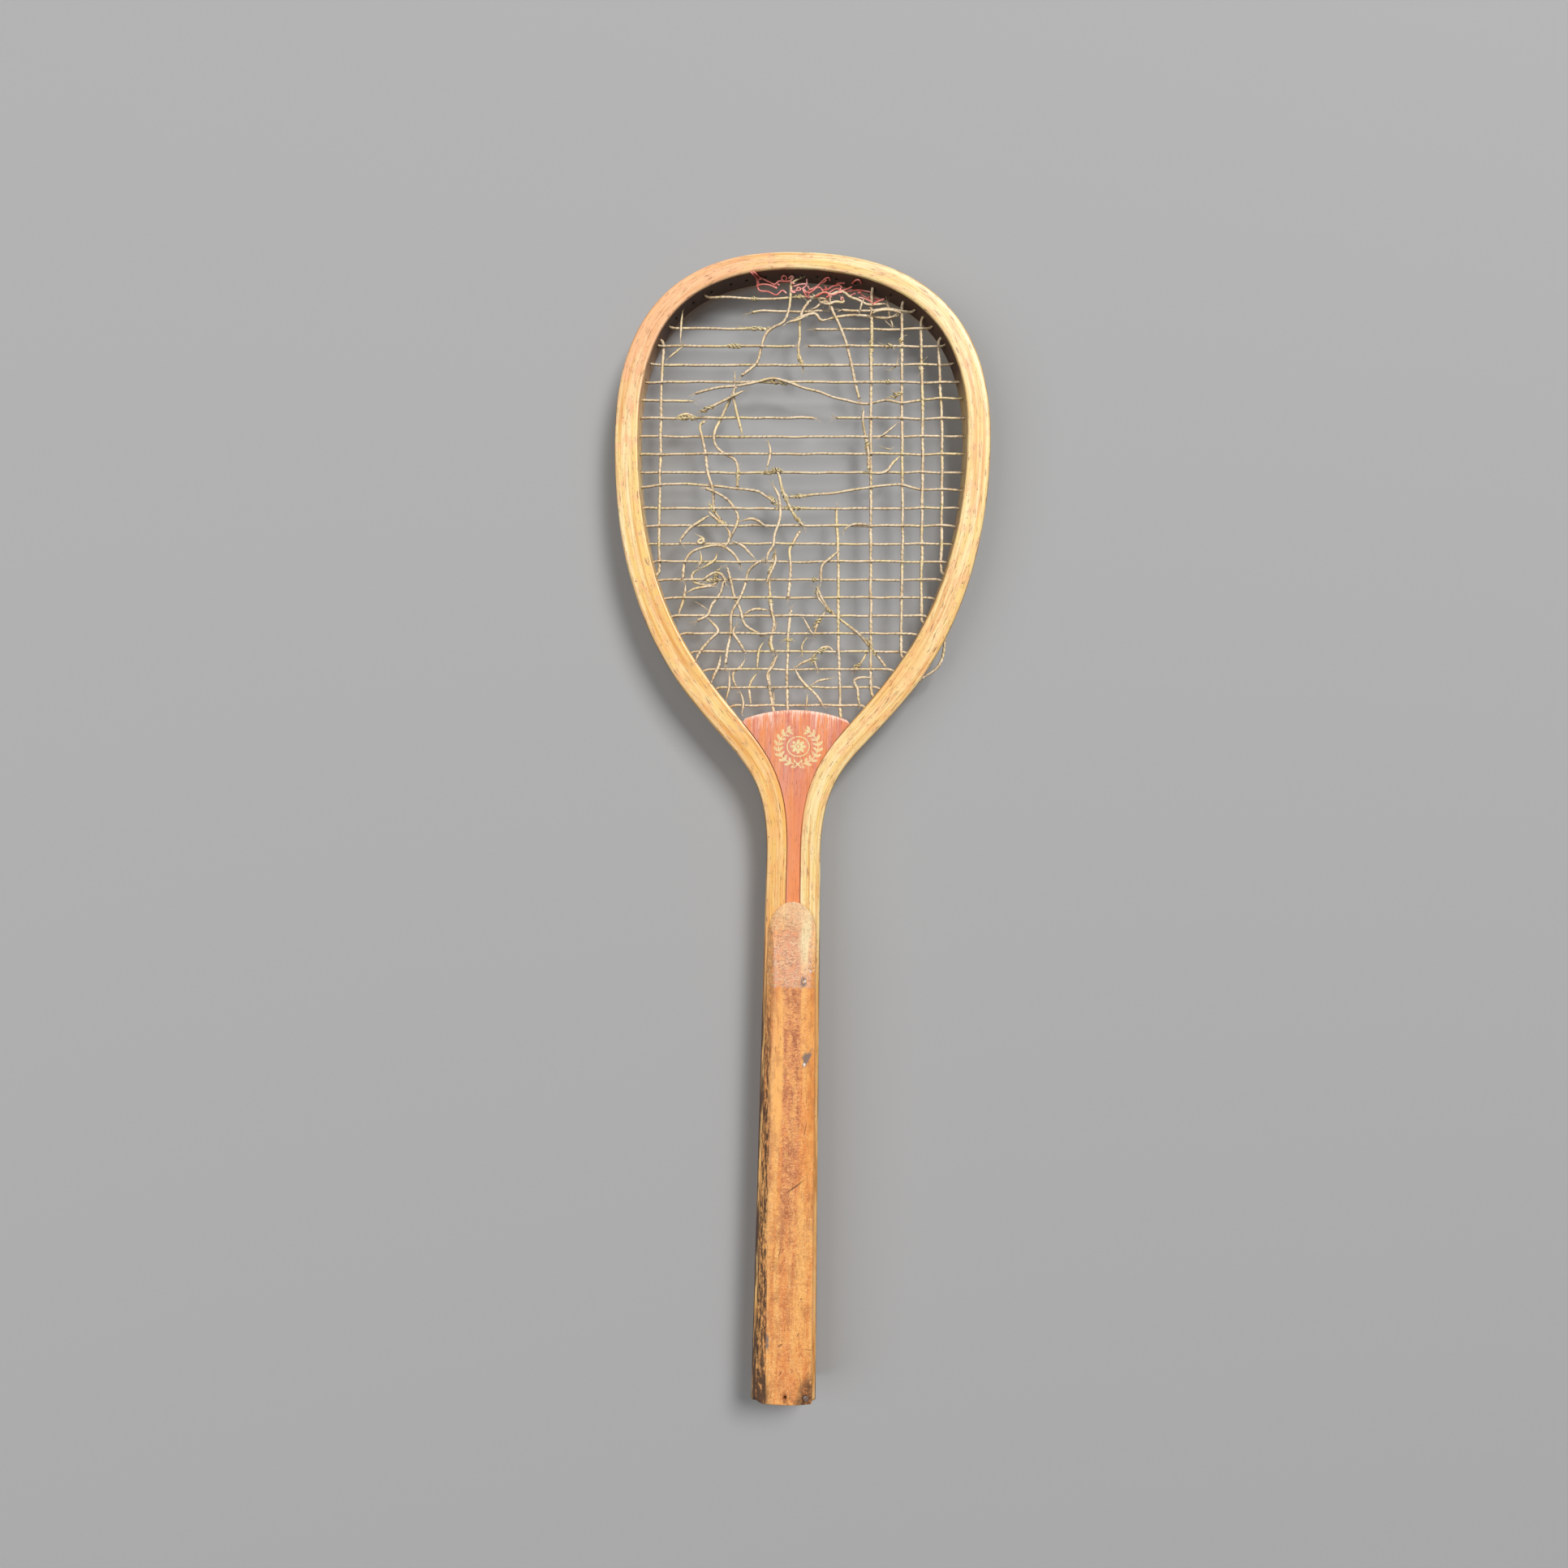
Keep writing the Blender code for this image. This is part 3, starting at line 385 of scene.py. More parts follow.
def turnedSpot(finish, x, y, mark, soft=0.45):
    # an oval turned on the face: 1 inside, 0 outside
    turn = math.radians(mark[4])
    across, up = x - mark[0], y - mark[1]
    first = (across * math.cos(turn) + up * math.sin(turn)) / mark[2]
    second = (up * math.cos(turn) - across * math.sin(turn)) / mark[3]
    return 1 - (first * first + second * second).math("SQRT").band(1 - soft, 1 + soft)


def makeWornWood(name, front):
    look = handleLook
    finish = Finish(name, look["wood"], 0.5, coatRoughness=0.3)
    place = finish.place()
    x, y = finish.part(place, 0) - racketShift.x, finish.part(place, 1) - racketShift.y
    z = finish.part(place, 2) - racketShift.z
    if not front:
        x, z = x * -1.0, z * -1.0
    broad = finish.noise(finish.stretched(place, (260, 14, 200), (0, 0, 4)), 1.0, 4, 0.6, 0.4)
    fine = finish.noise(finish.stretched(place, (1300, 30, 700)), 1.0, 6, 0.72)
    pores = finish.noise(finish.stretched(place, (1900, 120, 1500)), 1.0, 3, 0.5)
    clouds = finish.noise(finish.stretched(place, (210, 95, 150)), 1.0, 5, 0.68)
    specks = finish.noise(finish.stretched(place, (1100, 900, 1000)), 1.0, 2, 0.5)
    blots = finish.noise(finish.stretched(place, (300, 210, 300)), 1.0, 5, 0.7)
    wrinkles = finish.noise(finish.stretched(place, (430, 840, 430)), 1.0, 5, 0.7, 0.8)
    drift = x + (broad - 0.5) * 0.0035 + (fine - 0.5) * 0.0022
    colour = finish.mix(broad.band(0.38, 0.60), look["wood"], look["pale"])
    colour = finish.mix(fine.band(0.50, 0.64) * 0.55, colour, look["orange"])
    # a reddish stain down the middle, mottled with brown, and a pale worn strip on its left
    redBand = drift.band(look["redBand"][0] - 0.0006, look["redBand"][0] + 0.0006)
    redBand = redBand * (1 - drift.band(look["redBand"][1] - 0.0012, look["redBand"][1] + 0.0014))
    stained = redBand * (y.band(0.060, 0.150) * 0.65 + 0.2)
    colour = finish.mix(stained * (0.55 + clouds.band(0.35, 0.6) * 0.45), colour, look["red"])
    mottled = (0.30 + stained * 0.75) * (1 - y.band(0.246, 0.252) * 0.85)
    colour = finish.mix((mottled * clouds.band(0.47, 0.66) * 0.75).clamped(), colour, look["brown"])
    bare = 1 - y.band(0.244, 0.249)
    colour = finish.mix((mottled * wrinkles.band(0.50, 0.60) * 0.82).clamped(), colour, look["brown"])
    colour = finish.mix(bare * (1 - wrinkles.band(0.38, 0.46)) * 0.60, colour, look["pale"])
    ticks = finish.noise(finish.stretched(place, (900, 1500, 500), (3, 3, 0)), 1.0, 4, 0.7, 0.6)
    colour = finish.mix(bare * ticks.band(0.54, 0.62) * 0.45, colour, look["brown"])
    colour = finish.mix(bare * (1 - ticks.band(0.37, 0.43)) * 0.5, colour, look["gleam"])
    patch = turnedSpot(finish, drift, y, (*look["patch"], 0), 0.22) * (0.25 + (fine * 0.5 + broad * 0.5).band(0.42, 0.54) * 0.7)
    colour = finish.mix(patch, colour, look["pale"])
    rightRim = drift.band(0.0085, 0.0125) * y.band(0.10, 0.17) * (1 - y.band(0.262, 0.280))
    colour = finish.mix(rightRim * (0.35 + fine.band(0.40, 0.52) * 0.45), colour, look["orange"])
    weathered = finish.noise(finish.stretched(place, (150, 62, 120), (5, 5, 0)), 1.0, 6, 0.75)
    colour = finish.mix(bare * weathered.band(0.50, 0.60) * 0.38, colour, look["brown"])
    colour = finish.mix(bare * (1 - weathered.band(0.39, 0.48)) * 0.45, colour, look["pale"])
    # painted light: the shaded left bevel is coloured a lighter honey, more towards the top
    leftBevelPaintedLight = 1 - x.band(-0.0124, -0.0104)
    colour = finish.mix(leftBevelPaintedLight * (0.35 + y.band(0.215, 0.245) * 0.40), colour, look["paintedLightHoney"])
    # wrinkled varnish under the arch: dark, mostly crosswise lines with a painted highlight beside them
    edge = y + (clouds - 0.5) * 0.004 + (blots - 0.5) * 0.003
    crazed = edge.band(look["crazedFrom"], look["crazedFrom"] + 0.0012)
    pinkZone = crazed * (1 - y.band(0.268, 0.288) * 0.75) * drift.band(-0.0120, -0.0100) * (1 - drift.band(0.0100, 0.0130))
    colour = finish.mix(pinkZone * (0.45 + blots.band(0.4, 0.6) * 0.5), colour, look["pink"])
    creased = finish.noise(finish.stretched(place, (215, 460, 300), (1, 2, 0)), 1.0, 4, 0.65, 1.3)
    hairline = finish.noise(finish.stretched(place, (700, 900, 700), (5, 2, 0)), 1.0, 4, 0.6, 1.0)
    crackLines = 1 - (creased - 0.5).math("ABSOLUTE").band(0.007, 0.026)
    crackLines = crackLines.math("MAXIMUM", (1 - (hairline - 0.5).math("ABSOLUTE").band(0.006, 0.022)) * 0.45)
    crackLines = crackLines * (0.35 + blots.band(0.42, 0.56) * 0.65)
    # painted highlight beside the wrinkles
    colour = finish.mix(crazed * (1 - (creased - 0.545).math("ABSOLUTE").band(0.006, 0.030)) * 0.7, colour, look["gleam"])
    colour = finish.mix(crazed * crackLines * 0.95, colour, look["crack"])
    # painted reflection: a pale glare patch on the upper right of the face
    paintedGlare = turnedSpot(finish, x, y, look["paintedGlare"], 0.7) * (0.4 + broad.band(0.4, 0.6) * 0.6)
    colour = finish.mix((paintedGlare * 0.95).clamped(), colour, look["gleam"])
    # painted highlight: the face is lighter towards the top of the arch
    colour = finish.mix(y.band(0.278, 0.292) * 0.35, colour, look["gleam"])
    # black dirt on the sides, most on the wide left bevel
    left = 1 - (x + (broad - 0.5) * 0.005 + (blots - 0.5) * 0.003 + (y - 0.1) * 0.004).band(-0.0124, -0.0100)
    low = 1 - y.band(0.20, 0.262)
    grime = finish.noise(finish.stretched(place, (900, 110, 400), (9, 2, 0)), 1.0, 7, 0.8)
    caked = blots.band(0.44, 0.58) * low
    colour = finish.mix((left * (1 - low) * (crackLines * 0.9 + blots.band(0.5, 0.6) * 0.5)).clamped(), colour, look["brown"])
    dirt = left * (grime.band(0.47, 0.53) * (0.08 + low * 0.87) + caked * 0.55)
    right = x.band(0.0158, 0.0176)
    dirt = dirt + right * grime.band(0.52, 0.64) * 0.6
    dirt = dirt + (1 - y.band(0.0015, 0.0075)) * clouds.band(0.46, 0.6) * 0.5
    dirt = dirt + specks.band(0.68, 0.72) * 0.6 + pores.band(0.64, 0.70) * 0.45
    dents = 0.0
    if front:
        stain = turnedSpot(finish, x, y, (0.0140, 0.0085, 0.0044, 0.0082, -14), 0.7) * blots.band(0.28, 0.50)
        dirt = dirt + stain * 0.9
        corner = turnedSpot(finish, x, y, (-0.0130, 0.0080, 0.0036, 0.0130, 8), 0.7) * blots.band(0.30, 0.52)
        dirt = dirt + corner * 0.9
        for mark in look["marks"]:
            dent = turnedSpot(finish, x, y, mark)
            dirt = dirt + dent * 0.75
            dents = dent + dents
        scars, paintedGlints = 0.0, 0.0
        for mark in look["scars"]:
            scars = turnedSpot(finish, x, y, mark) * blots.band(0.38, 0.54) + scars
        # painted glints: small near-white spots on the face
        for mark in look["paintedGlints"]:
            paintedGlints = turnedSpot(finish, x, y, mark) + paintedGlints
        colour = finish.mix(scars.clamped() * 0.9, colour, look["silver"])
        colour = finish.mix(paintedGlints.clamped() * 0.9, colour, look["bright"])
        rusty = turnedSpot(finish, x, y, (*look["nailHole"], 0.0017, 0.0036, 6), 0.5)
        colour = finish.mix(rusty * 0.75, colour, look["rust"])
        dents = dents + scars * 0.4
    sooty = finish.mix((blots * 0.5 + grime * 0.5).band(0.42, 0.58), look["soot"], look["black"])
    sooty = finish.mix(y.band(0.16, 0.22) * 0.75, sooty, look["umber"])
    colour = finish.mix(dirt.clamped() * 0.94, colour, sooty)
    finish.feed("Base Color", colour)
    finish.feed("Roughness", (0.42 + broad * 0.15 + dirt.clamped() * 0.2 - crazed * 0.14 - patch * 0.1).clamped())
    finish.feed("Coat Weight", (crazed * 0.5 + 0.12 - dirt.clamped() * 0.1).clamped())
    relief = fine * 0.7 - pores.band(0.64, 0.70) * 0.6 + wrinkles * 0.9 - crazed * crackLines * 1.3 + crazed * creased * 1.6
    finish.bump(relief - dents * 1.2 + grime * left * 0.8, 0.5, 0.0003)
    return finish


# Dry gut: cream fibres twisted together, brown in the creases.
gutLook = {
    "cream": (0.92, 0.74, 0.50),
    "tan": (0.76, 0.55, 0.31),
    "straw": (0.90, 0.72, 0.37),
    "crease": (0.11, 0.055, 0.028),
    "edge": 0.82,  # how dark its sides are painted with the crease colour, as painted shade
}
redLook = {
    "cream": (0.96, 0.36, 0.30),
    "tan": (0.86, 0.16, 0.11),
    "straw": (1.0, 0.56, 0.50),
    "crease": (0.30, 0.02, 0.015),
    # painted shade on the sides, lighter than on plain gut
    "edge": 0.45,
}


def makeGut(name, look, twist):
    finish = Finish(name, look["cream"], 0.45)
    wrap, place = finish.wrap(), finish.place()
    round_, along = finish.part(wrap, 0), finish.part(wrap, 1)
    patches = finish.noise(place, 130.0, 4, 0.6)
    flecks = finish.noise(place, 900.0, 3, 0.6)
    fibres = finish.noise(finish.stretched(wrap, (3600, 260, 1), (0, 0, 0), (0, 0, twist)), 1.0, 4, 0.65)
    lines = finish.noise(finish.stretched(wrap, (2600, 110, 1), (4, 0, 0), (0, 0, twist / 2)), 1.0, 3, 0.6)
    turns = ((round_ * 1000.0 + along * 2900.0 + flecks * 2.4 + patches * 9.0).math("SINE") * 0.5 + 0.5)
    colour = finish.mix(patches.band(0.42, 0.66), look["cream"], look["tan"])
    colour = finish.mix(finish.noise(place, 60.0, 2, 0.5, 0.0).band(0.52, 0.62) * 0.7, colour, look["straw"])
    twisted = finish.noise(place, 210.0, 2, 0.5).band(0.40, 0.56)
    creases = (1 - turns.band(0.03, 0.30)) * twisted * 0.48 + fibres.band(0.56, 0.66) * 0.5
    creases = creases + flecks.band(0.60, 0.68) * 0.6 + lines.band(0.60, 0.68) * 0.7
    colour = finish.mix(creases.clamped() * 0.85, colour, look["crease"])
    # painted shade: the sides of each strand, where its normal turns away from up and down, are darkened with the
    # crease colour
    facing = finish.part(finish.add("TexCoord", {}, [], "Normal"), 2).math("ABSOLUTE")
    colour = finish.mix((1 - (facing + (lines - 0.5) * 0.5).band(0.22, 0.68)) * look["edge"], colour,
                        look["crease"])
    finish.feed("Base Color", colour)
    finish.feed("Roughness", (0.40 + fibres * 0.25).clamped())
    finish.bump(turns * twisted * 0.4 + fibres * 0.5 + lines * 0.4, 0.55, 0.00022)
    return finish


# Rust on the nail in the butt.
rustLook = {"steel": (0.25, 0.24, 0.23), "rust": (0.16, 0.07, 0.035), "bright": (0.52, 0.50, 0.48)}


def makeRust():
    finish = Finish("rustySteel", rustLook["steel"], 0.5)
    place = finish.place()
    patches = finish.noise(place, 900.0, 5, 0.65)
    spots = finish.noise(place, 2600.0, 3, 0.6)
    colour = finish.mix(patches.band(0.40, 0.58), rustLook["steel"], rustLook["rust"])
    colour = finish.mix(spots.band(0.60, 0.66) * 0.8, colour, rustLook["bright"])
    finish.feed("Base Color", colour)
    finish.feed("Metallic", (1 - patches.band(0.40, 0.58)) * 0.85)
    finish.feed("Roughness", (patches * 0.5 + 0.3).clamped())
    finish.bump(patches * 0.8 + spots * 0.5, 0.6, 0.0002)
    return finish


# ---- mesh helpers

def nothingSelected():
    if bpy.context.object and bpy.context.object.mode != "OBJECT":
        bpy.ops.object.mode_set(mode="OBJECT")
    bpy.ops.object.select_all(action="DESELECT")


def bentGrid(name, around, along, placing, girth, length, closedEnds=True, roundMarks=None):
    # a grid is bent so that its x runs round the piece and its y along it
    nothingSelected()
    bpy.ops.mesh.primitive_grid_add(x_subdivisions=around, y_subdivisions=along, size=1)
    piece = bpy.context.object
    piece.name = piece.data.name = name
    for vertex in piece.data.vertices:
        vertex.co = placing(vertex.co.x + 0.5, vertex.co.y + 0.5)
    wrap = piece.data.uv_layers[0]
    wrap.name = "wrap"
    for corner in wrap.data:
        share = corner.uv.x
        corner.uv = (roundMarks[round(share * around)] if roundMarks else share * girth, corner.uv.y * length)
    bpy.ops.object.mode_set(mode="EDIT")
    bpy.ops.mesh.select_all(action="SELECT")
    bpy.ops.mesh.remove_doubles(threshold=0.00001)
    if closedEnds:
        bpy.ops.mesh.select_all(action="DESELECT")
        bpy.ops.mesh.select_mode(type="EDGE")
        bpy.ops.mesh.select_non_manifold()
        bpy.ops.mesh.fill_holes(sides=0)
    bpy.ops.mesh.select_all(action="SELECT")
    bpy.ops.mesh.normals_make_consistent(inside=False)
    bpy.ops.object.mode_set(mode="OBJECT")
    bpy.ops.object.shade_smooth()
    return piece


def joined(pieces, name):
    nothingSelected()
    for piece in pieces:
        piece.select_set(True)
    bpy.context.view_layer.objects.active = pieces[0]
    bpy.ops.object.join()
    pieces[0].name = pieces[0].data.name = name
    return pieces[0]


def applyModifier(piece, kind, **settings):
    nothingSelected()
    bpy.context.view_layer.objects.active = piece
    piece.select_set(True)
    modifier = piece.modifiers.new(kind.lower(), kind)
    for key, value in settings.items():
        setattr(modifier, key, value)
    bpy.ops.object.modifier_apply(modifier=modifier.name)


def cutWith(piece, cutter):
    applyModifier(piece, "BOOLEAN", object=cutter, operation="DIFFERENCE", solver="EXACT")
    bpy.data.objects.remove(cutter)


def bar(start, end, radius, sides=12):
    nothingSelected()
    along = end - start
    turn = Vector((0, 0, 1)).rotation_difference(along)
    bpy.ops.mesh.primitive_cylinder_add(vertices=sides, radius=radius, depth=along.length,
                                        location=(start + end) / 2, rotation=turn.to_euler())
    return bpy.context.object


def dress(piece, finish, slotName, *standsFor):
    nothingSelected()
    piece.select_set(True)
    bpy.context.view_layer.objects.active = piece
    bpy.ops.object.transform_apply(location=True, rotation=True, scale=True)
    piece.data.materials.clear()
    piece.data.materials.append(finish.material)
    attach(piece, "root")
    if standsFor:
        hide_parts(*standsFor)
    return piece


def mixed(first, second, share):
    return first + (second - first) * share


def rough(point, size, seed=0.0):
    return noise.noise(Vector(point) / size + Vector((seed, seed * 1.7, seed * 0.3)))


# ---- the bent ash bow

bowLook = {
    "length": 0.6858,
    "depth": 0.0185,
    "handleSlant": (0.01935, 0.0161, 0.3255),  # leg centre... half width at the butt, at the flare, and its height
    "widths": ((0.0, 0.0123), (0.26, 0.0123), (0.345, 0.0141), (0.38, 0.0160), (0.4, 0.0156), (0.5, 0.0105)),
    "outerRound": 0.0023,
    "innerRound": 0.0014,
    "groove": (0.0036, 0.0019),  # width and depth
    "rings": 900,
    "hole": 0.00102,
}


def legCentre(y):
    stem = mixed(0.0135, 0.0072, y / 0.3255) / 2
    return stem + 0.00025 + 0.0123 / 2


def halfBow(side):
    apexReach = 0.052 if side < 0 else 0.055
    flare = Vector((legCentre(0.3255), 0.3255, 0))
    shoulder = Vector((0.0637, 0.4306, 0))
    slant = Vector((math.sin(math.radians(36.7)), math.cos(math.radians(36.7)), 0))
    widest = Vector((0.10545 + side * 0.0007, 0.5758, 0))
    apex = Vector((-side * 0.004, 0.6858 - 0.00525, 0))
    up = Vector((0, 1, 0))
    runs = (
        (flare, flare + up * 0.057, shoulder - slant * 0.056, shoulder, (0.0123, 0.0141, 0.0160)),
        (shoulder, shoulder + slant * 0.053, widest - up * 0.050, widest, (0.0160, 0.0151, 0.0142)),
        (widest, widest + up * 0.085, apex + Vector((apexReach, 0, 0)), apex, (0.0142, 0.0120, 0.0105)),
    )
    line = [(Vector((legCentre(0.3255 * step / 40), 0.3255 * step / 40, 0)), 0.0123) for step in range(40)]
    for a, b, c, d, widths in runs:
        for index, point in enumerate(interpolate_bezier(a, b, c, d, 121)[:-1]):
            share = index / 60
            width = mixed(widths[0], widths[1], share) if share < 1 else mixed(widths[1], widths[2], share - 1)
            line.append((point, width))
    line.append((apex, 0.0105))
    return [(Vector((point.x * side, point.y, 0)), width) for point, width in line]


def evenly(line, count):
    # the same line with points at even distances
    marks = [0.0]
    for (a, _), (b, _) in zip(line, line[1:]):
        marks.append(marks[-1] + (b - a).length)
    result, index = [], 0
    for step in range(count):
        goal = marks[-1] * step / (count - 1)
        while index < len(marks) - 2 and marks[index + 1] < goal:
            index += 1
        share = (goal - marks[index]) / (marks[index + 1] - marks[index])
        result.append((mixed(line[index][0], line[index + 1][0], share),
                       mixed(line[index][1], line[index + 1][1], share)))
    return result, marks[-1]


bowLine, bowLength = evenly(halfBow(-1) + halfBow(1)[-2::-1], bowLook["rings"] + 1)


def bowSide(index):
    before, after = bowLine[max(index - 1, 0)][0], bowLine[min(index + 1, len(bowLine) - 1)][0]
    along = (after - before).normalized()
    return Vector((-along.y, along.x, 0))


bowSides = [bowSide(index) for index in range(len(bowLine))]


def grooveShare(point):
    return max(0.0, min(1.0, (point.y - 0.3819) / 0.012))


def bowSection(width, groove):
    # points (outwards, z) round the section, starting in the middle of the inner side
    half, deep = width / 2, bowLook["depth"] / 2
    outer, inner = bowLook["outerRound"], bowLook["innerRound"]
    lip, depth = bowLook["groove"][0] / 2, bowLook["groove"][1] * groove
    points = [(-half, 0.0), (-half, deep * 0.45)]
    for step in range(5):
        angle = math.radians(180 - 90 * step / 4)
        points.append((-half + inner + inner * math.cos(angle), deep - inner + inner * math.sin(angle)))
    for share in (0.25, 0.5, 0.75):
        points.append((mixed(-half + inner, half - outer, share), deep))
    for step in range(6):
        angle = math.radians(90 - 90 * step / 5)
        points.append((half - outer + outer * math.cos(angle), deep - outer + outer * math.sin(angle)))
    points += [(half, lip + 0.0012), (half, lip + 0.0002), (half - depth * 0.12, lip - 0.0001)]
    points += [(half - depth, lip - 0.0006)]
    mirrored = [(x, -z) for x, z in reversed(points[1:])]
    return points + [(half - depth, 0.0)] + mirrored + [points[0]]


sectionCount = len(bowSection(0.012, 1.0)) - 1
bowSections = [bowSection(width, grooveShare(point)) for point, width in bowLine]
middleSection = bowSection(0.0135, 1.0)
ashMarks = [0.0]  # lengths round the bow's section
for a, b in zip(middleSection, middleSection[1:]):
    ashMarks.append(ashMarks[-1] + math.dist(a, b))


def placeBow(around, along):
    index = round(along * bowLook["rings"])
    out, z = bowSections[index][round(around * sectionCount)]
    point = bowLine[index][0] + bowSides[index] * out + Vector((0, 0, z))
    wear = 0.00012 * rough(point, 0.013) + 0.00006 * rough(point, 0.004, 3.0)
    return point + (bowSides[index] * out * 60 + Vector((0, 0, z * 50))) * wear + racketShift


bow = bentGrid("ashBow", sectionCount, bowLook["rings"], placeBow, 0.0, bowLength, roundMarks=ashMarks)
ash = makeAsh()
mahogany = makeMahogany()
wornFront, wornBack = makeWornWood("wornFront", True), makeWornWood("wornBack", False)
gut = makeGut("dryGut", gutLook, math.radians(24))
goldenGut = makeGut("goldenGut", {**gutLook, "cream": (0.92, 0.78, 0.42), "tan": (0.80, 0.62, 0.28)},
                    math.radians(24))
redGut = makeGut("redGut", redLook, math.radians(24))
rust = makeRust()
print("bow swept,", len(bow.data.polygons), "faces")

# ---- the lines of the strings, read from their solids


def lineOf(name, spacing=0.0012):
    shape = bmesh.new()
    shape.from_mesh(nodes[name].data)
    bmesh.ops.remove_doubles(shape, verts=shape.verts, dist=0.000002)

    def spread(starts):
        far = {vertex: 0.0 for vertex in starts}
        queue = [(0.0, vertex.index, vertex) for vertex in starts]
        heapq.heapify(queue)
        while queue:
            reached, _, vertex = heapq.heappop(queue)
            if reached > far[vertex]:
                continue
            for edge in vertex.link_edges:
                other = edge.other_vert(vertex)
                there = reached + edge.calc_length()
                if there < far.get(other, 9.0):
                    far[other] = there
                    heapq.heappush(queue, (there, other.index, other))
        return far

    shape.verts.ensure_lookup_table()
    shape.verts.index_update()
    far = spread([shape.verts[0]])
    tip = max(far, key=far.get)
    cap = [vertex for vertex in shape.verts if (vertex.co - tip.co).length < 0.0017]
    far = spread(cap)
    end = max(far.values())
    line = [sum((vertex.co for vertex in cap), Vector()) / len(cap)]
    count = max(2, int(end / spacing))
    for step in range(1, count):
        level = end * step / count
        hits = []
        for edge in shape.edges:
            a, b = far[edge.verts[0]], far[edge.verts[1]]
            if (a - level) * (b - level) < 0:
                hits.append(edge.verts[0].co.lerp(edge.verts[1].co, (level - a) / (b - a)))
        if hits:
            line.append(sum(hits, Vector()) / len(hits))
    ends = [vertex.co for vertex in shape.verts if far[vertex] > end - 0.0009]
    line.append(sum(ends, Vector()) / len(ends))
    shape.free()
    return line


def softened(line, times):
    for _ in range(times):
        middle = [(a + b * 2 + c) / 4 for a, b, c in zip(line, line[1:], line[2:])]
        line = [line[0], *middle, line[-1]]
    return line


def strandPiece(name, line, radius, seed, sides=8, taper=0.0, tips=0.0):
    # a twisted strand laid along a line; its sides turn slowly round it, and it can thin out at its tips
    tangents = [(b - a).normalized() for a, b in zip(line[:1] + line[:-1], line[1:] + line[-1:])]
    tangents = [t if t.length > 0 else Vector((0, 1, 0)) for t in tangents]
    across = tangents[0].orthogonal().normalized()
    frames = []
    for tangent in tangents:
        across = (across - tangent * across.dot(tangent)).normalized()
        frames.append((across.copy(), tangent.cross(across)))
    length = sum((b - a).length for a, b in zip(line, line[1:]))
    last = len(line) - 1

    def placing(around, along):
        index = round(along * last)
        far = along * length
        angle = around * math.tau + far * 900
        thick = 1 + 0.12 * rough((far, seed, 0), 0.009, seed) + 0.06 * math.cos(2 * around * math.tau)
        if taper:
            thick *= mixed(1.0, 1 - taper, along)
        if tips:
            thick *= min(1.0, 0.4 + 0.6 * min(far, length - far) / tips)
        first, second = frames[index]
        return line[index] + (first * math.cos(angle) + second * math.sin(angle)) * radius * thick

    return bentGrid(name, sides, last, placing, math.tau * radius, length)


# ---- string holes of the bow

bowLook["emptyHoles"] = (0.4230, 0.4381, 0.4570, 0.4807, 0.6826, 0.6986, 0.7123, 0.7248, 0.7365, 0.7479,
                         0.7702, 0.7812, 0.7924, 0.8038, 0.8280, 1.0975)  # distances along the bow

gutNames = sorted(n for n in nodes if n.startswith(("cross_", "main_", "broken_", "groove_")))
gutLines = {name: softened(lineOf(name), 3) for name in gutNames}
print("lines of", len(gutLines), "strings read")

bowPoints = KDTree(len(bowLine))
for index, (point, _) in enumerate(bowLine):
    bowPoints.insert(point + racketShift, index)
bowPoints.balance()


def holeMarks():
    marks = set()
    for name, line in gutLines.items():
        if name.startswith("groove"):
            continue
        for half in (line[:len(line) // 2], line[len(line) // 2:]):
            near = min((bowPoints.find(point)[1:] for point in half), key=lambda found: found[1])
            if near[1] < 0.0015:
                marks.add(near[0])
    for distance in bowLook["emptyHoles"]:
        marks.add(round(distance / bowLength * bowLook["rings"]))
    return sorted(marks)


holeBars = []
for index in holeMarks():
    centre, width = bowLine[index]
    reach = bowSides[index] * (width / 2 + 0.002)
    holeBars.append(bar(centre - reach + racketShift, centre + reach + racketShift, bowLook["hole"]))
print("bow has", len(holeBars), "string holes")
cutWith(bow, joined(holeBars, "holeBars"))

# ---- the mahogany wedge

wedgeLook = {
    "gap": 0.00010,
    "crownTop": 0.4119,
    "crownRise": 0.0061,
    "crownRound": 0.0013,
    "edgeRound": 0.0003,
    "holes": (0.00305, 0.0137),  # empty holes in the crown, across
    "holeDepth": 0.009,
}


def flankOf(side):
    points = []
    line = list(zip(bowLine, bowSides))
    line = line if side < 0 else line[::-1]
    for (point, width), outwards in line[::3]:
        edge = point - outwards * (width / 2 + wedgeLook["gap"])
        if edge.y > wedgeLook["crownTop"] - wedgeLook["crownRise"]:
            break
        points.append(edge)
    return points


def wedgeOutline():
    left, right = flankOf(-1), flankOf(1)
    half, rise = right[-1].x, wedgeLook["crownRise"]
    radius = (half ** 2 + rise ** 2) / (2 * rise)
    crown = []
    for step in range(1, 40):
        x = mixed(left[-1].x, right[-1].x, step / 40)
        crown.append(Vector((x, wedgeLook["crownTop"] - radius + math.sqrt(radius ** 2 - x ** 2), 0)))
    return left + crown + right[::-1]


def crownHeight(x):
    half, rise = 0.0336, wedgeLook["crownRise"]
    radius = (half ** 2 + rise ** 2) / (2 * rise)
    return wedgeLook["crownTop"] - radius + math.sqrt(radius ** 2 - x ** 2)


